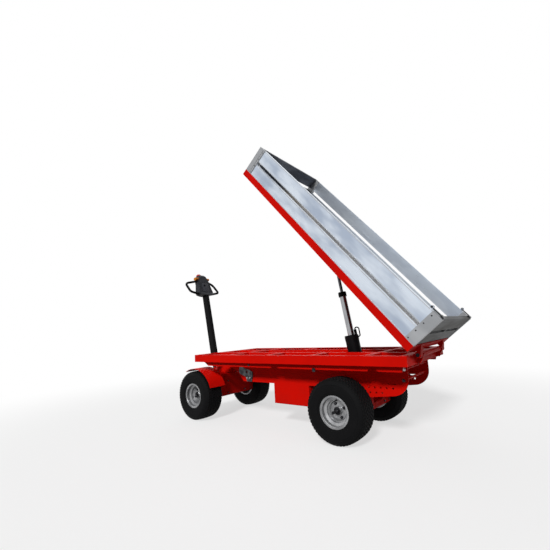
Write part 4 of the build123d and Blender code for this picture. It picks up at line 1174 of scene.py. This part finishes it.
@dataclass
class DeckTrim:
    """Weld beads on the deck grid, the catch's bolts and the fittings under the side rail."""

    deck_top: float = 615.0
    rail_inner: float = 405.0
    runner_edges: tuple[float, float] = (170.0, 130.0)
    outer_stations: tuple[float, ...] = (-250.0, 190.0, 630.0, 1070.0)
    centre_stations: tuple[float, ...] = (-250.0, 1070.0)
    end_stations: tuple[float, ...] = (-518.0, 1479.0)
    bead_length: float = 46.0
    bead_radius: float = 2.2
    catch_bolts: tuple[float, ...] = (957.0, 988.0)
    catch_face: float = 268.0
    skirt_face: float = 416.0
    fasteners: Fasteners = field(default_factory=Fasteners)

    def weld_beads(self) -> None:
        """Rippled beads across the grid's joints, nearly flush with its top."""
        half, r = self.bead_length / 2, self.bead_radius
        steps = 9
        ripples = []
        for k in range(steps):
            along = -half + 2 * half * (k + 0.5) / steps
            ripples += [(along - half / steps * 0.6, 0.75 * r), (along, r), (along + half / steps * 0.6, 0.75 * r)]
        outline = [(r_here, a) for a, r_here in ripples]
        bead = Bench.lathe([(0.0, -half), *outline, (0.0, half)], 10, "Y")
        Bench.move(bead, Matrix.Rotation(pi / 2, 4, "Z"))
        outer, inner = self.runner_edges
        spots = []
        for side in (1, -1):
            for station in self.outer_stations:
                spots += [(station, side * self.rail_inner), (station, side * outer)]
            spots += [(station, side * inner) for station in self.centre_stations]
            spots += [(station, side * self.rail_inner) for station in self.end_stations]
        beads = Bench.copies(bead, [Matrix.Translation(Places.station(x, y, self.deck_top - 0.8)) for x, y in spots])
        Bench.hand_over(beads, "deck_weld_beads", Finish.RED, "chassis", "red_paint", 60)

    def catch(self) -> None:
        """Bright bolts on the side catch."""
        spots = [Matrix.Translation(Places.station(x, self.catch_face, 395)) @ facing((0, 1, 0))
                 for x in self.catch_bolts]
        Bench.hand_over(Bench.copies(self.fasteners.hex_bolt(15, 6), spots), "side_catch_bolts", Finish.ZINC,
                        "chassis", "grey_steel")

    def fittings(self) -> None:
        """Dark rubber stop and bolt heads on both skirts."""
        parts = []
        for side in (1, -1):
            stop = Bench.block((28.0, 10.0, 28.0), (0, 0, 0), 4.5, 3)
            parts.append(Bench.move(stop, Matrix.Translation(Places.station(163, side * (self.skirt_face + 4), 508))))
            bolt = self.fasteners.hex_bolt(14, 6)
            parts.append(Bench.move(bolt, Matrix.Translation(Places.station(824, side * self.skirt_face, 528))
                                    @ facing((0, side, 0))))
        Bench.hand_over(Bench.join(parts), "skirt_fittings", Finish.DARK_STEEL, "chassis")

    def build(self) -> None:
        """Makes the deck's trim."""
        self.weld_beads()
        self.catch()
        self.fittings()


class CadFinishes:
    """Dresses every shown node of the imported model."""

    by_node: dict[Finish, tuple[str, ...]] = {
        Finish.BLACK: ("tiller_arm", "ram_sleeve", "hydraulic_pack"),
        Finish.BOARD: ("side_boards",),
        Finish.BED_FLOOR: ("bed_floor",),
        Finish.HEADBOARD: ("headboard",),
        Finish.TAILGATE: ("tailgate",),
        Finish.POST: ("corner_posts",),
        Finish.CATCH: ("side_catch",),
        Finish.DARK_STEEL: ("tailgate_straps",),
        Finish.CHROME: ("ram_stage",),
        Finish.ROD: ("ram_rod",),
        Finish.RIM: ("rim_",),
        Finish.TYRE: ("tyre_",),
        Finish.HOSE: ("ram_hose",),
        Finish.HEAD: ("control_head",),
        Finish.GRIP: ("handle_loops",),
        Finish.STOP: ("stop_button",),
        Finish.AMBER: ("speed_rockers",),
    }

    @classmethod
    def finish_of(cls, node: str) -> Finish:
        """The longest matching name decides, and what is left is painted red."""
        fits = [(len(start), finish) for finish, starts in cls.by_node.items() for start in starts
                if node.startswith(start)]
        return max(fits, key=lambda pair: pair[0])[1] if fits else Finish.RED

    @classmethod
    def build(cls) -> None:
        """Assigns a material to each node."""
        for name, node in frame["nodes"].items():
            node.data.materials.clear()
            node.data.materials.append(cls.finish_of(name).material)
            log.info("%s: %s", name, cls.finish_of(name).name)


@dataclass
class Studio:
    """Pale floor, plain lights and the camera where the photographer stood."""

    eye: tuple[float, float, float] = (-1.26969, 2.66122, 0.82018)
    right: tuple[float, float, float] = (-0.78172989, -0.62147351, -0.0516629)
    up: tuple[float, float, float] = (-0.137582, 0.09106922, 0.98629488)
    forward: tuple[float, float, float] = (0.60825125, -0.77812407, 0.1566951)
    focal_share: float = 343.72 / 550.0
    sensor: float = 36.0
    sky: float = 0.24
    sun: float = 2.45
    sun_from: tuple[float, float, float] = (-0.35, 1.0, 0.72)

    def camera(self) -> None:
        """Adds the camera; its place is measured from the rear axle."""
        bpy.ops.object.camera_add()
        camera = bpy.context.object
        camera.name = "photo_camera"
        camera.data.sensor_width = self.sensor
        camera.data.lens = self.sensor * self.focal_share
        spot = Vector(self.eye) + Vector((Places.rear_axle.x, 0, 0))
        back = -Vector(self.forward)
        turn = Matrix((self.right, self.up, back)).transposed()
        camera.matrix_world = Matrix.Translation(spot) @ turn.to_4x4()
        bpy.context.scene.camera = camera

    def world(self) -> None:
        """White where it is seen or mirrored, dimmer where it lights."""
        world = bpy.data.worlds.new("plain_sky")
        bpy.context.scene.world = world
        world.use_nodes = True
        tree = world.node_tree
        tree.nodes.clear()
        rays = tree.nodes.new("ShaderNodeLightPath")
        seen = tree.nodes.new("ShaderNodeMath")
        seen.operation = "MAXIMUM"
        tree.links.new(rays.outputs["Is Camera Ray"], seen.inputs[0])
        mirrored = tree.nodes.new("ShaderNodeMath")
        mirrored.operation = "MAXIMUM"
        tree.links.new(rays.outputs["Is Glossy Ray"], mirrored.inputs[0])
        tree.links.new(rays.outputs["Is Transmission Ray"], mirrored.inputs[1])
        tree.links.new(mirrored.outputs[0], seen.inputs[1])
        level = tree.nodes.new("ShaderNodeMapRange")
        level.inputs["To Min"].default_value = self.sky
        level.inputs["To Max"].default_value = 1.0
        tree.links.new(seen.outputs[0], level.inputs["Value"])
        glow = tree.nodes.new("ShaderNodeBackground")
        glow.inputs["Color"].default_value = (1, 1, 1, 1)
        tree.links.new(level.outputs[0], glow.inputs["Strength"])
        output = tree.nodes.new("ShaderNodeOutputWorld")
        tree.links.new(glow.outputs[0], output.inputs["Surface"])

    def lights(self) -> None:
        """One broad sun from the rear left and a weak fill from the other side."""
        for name, direction, strength, spread in (("key_light", self.sun_from, self.sun, 10.0),
                                                  ("fill_light", (0.8, -0.9, 1.1), 0.22, 40.0)):
            bpy.ops.object.light_add(type="SUN")
            lamp = bpy.context.object
            lamp.name = name
            lamp.data.energy = strength
            lamp.data.angle = radians(spread)
            lamp.rotation_euler = Vector(direction).to_track_quat("Z", "Y").to_euler()

    def floor(self) -> None:
        """Adds the floor, just under the tyres."""
        Bench.clear()
        bpy.ops.mesh.primitive_plane_add(size=160, location=(0, 0, -0.0005))
        ground = bpy.context.object
        ground.name = "studio_floor"
        ground.data.materials.append(Finish.FLOOR.material)

    def build(self) -> None:
        """Sets up the studio."""
        view = bpy.context.scene.view_settings
        view.view_transform = "Standard"
        self.camera()
        self.world()
        self.lights()
        self.floor()


def main() -> None:
    """Builds the studio, the finishes and every fine part."""
    logging.basicConfig(level=logging.INFO, format="%(name)s: %(message)s")
    Bench.clear()
    Studio().build()
    CadFinishes.build()
    TurfTyres().build()
    WheelTrim().build()
    BedTrim().build()
    ChassisTrim().build()
    DeckTrim().build()
    AxleTrim().build()
    PackTrim().build()
    RamTrim().build()
    HeadTrim().build()
    bpy.context.view_layer.update()


if __name__ == "__main__":
    main()
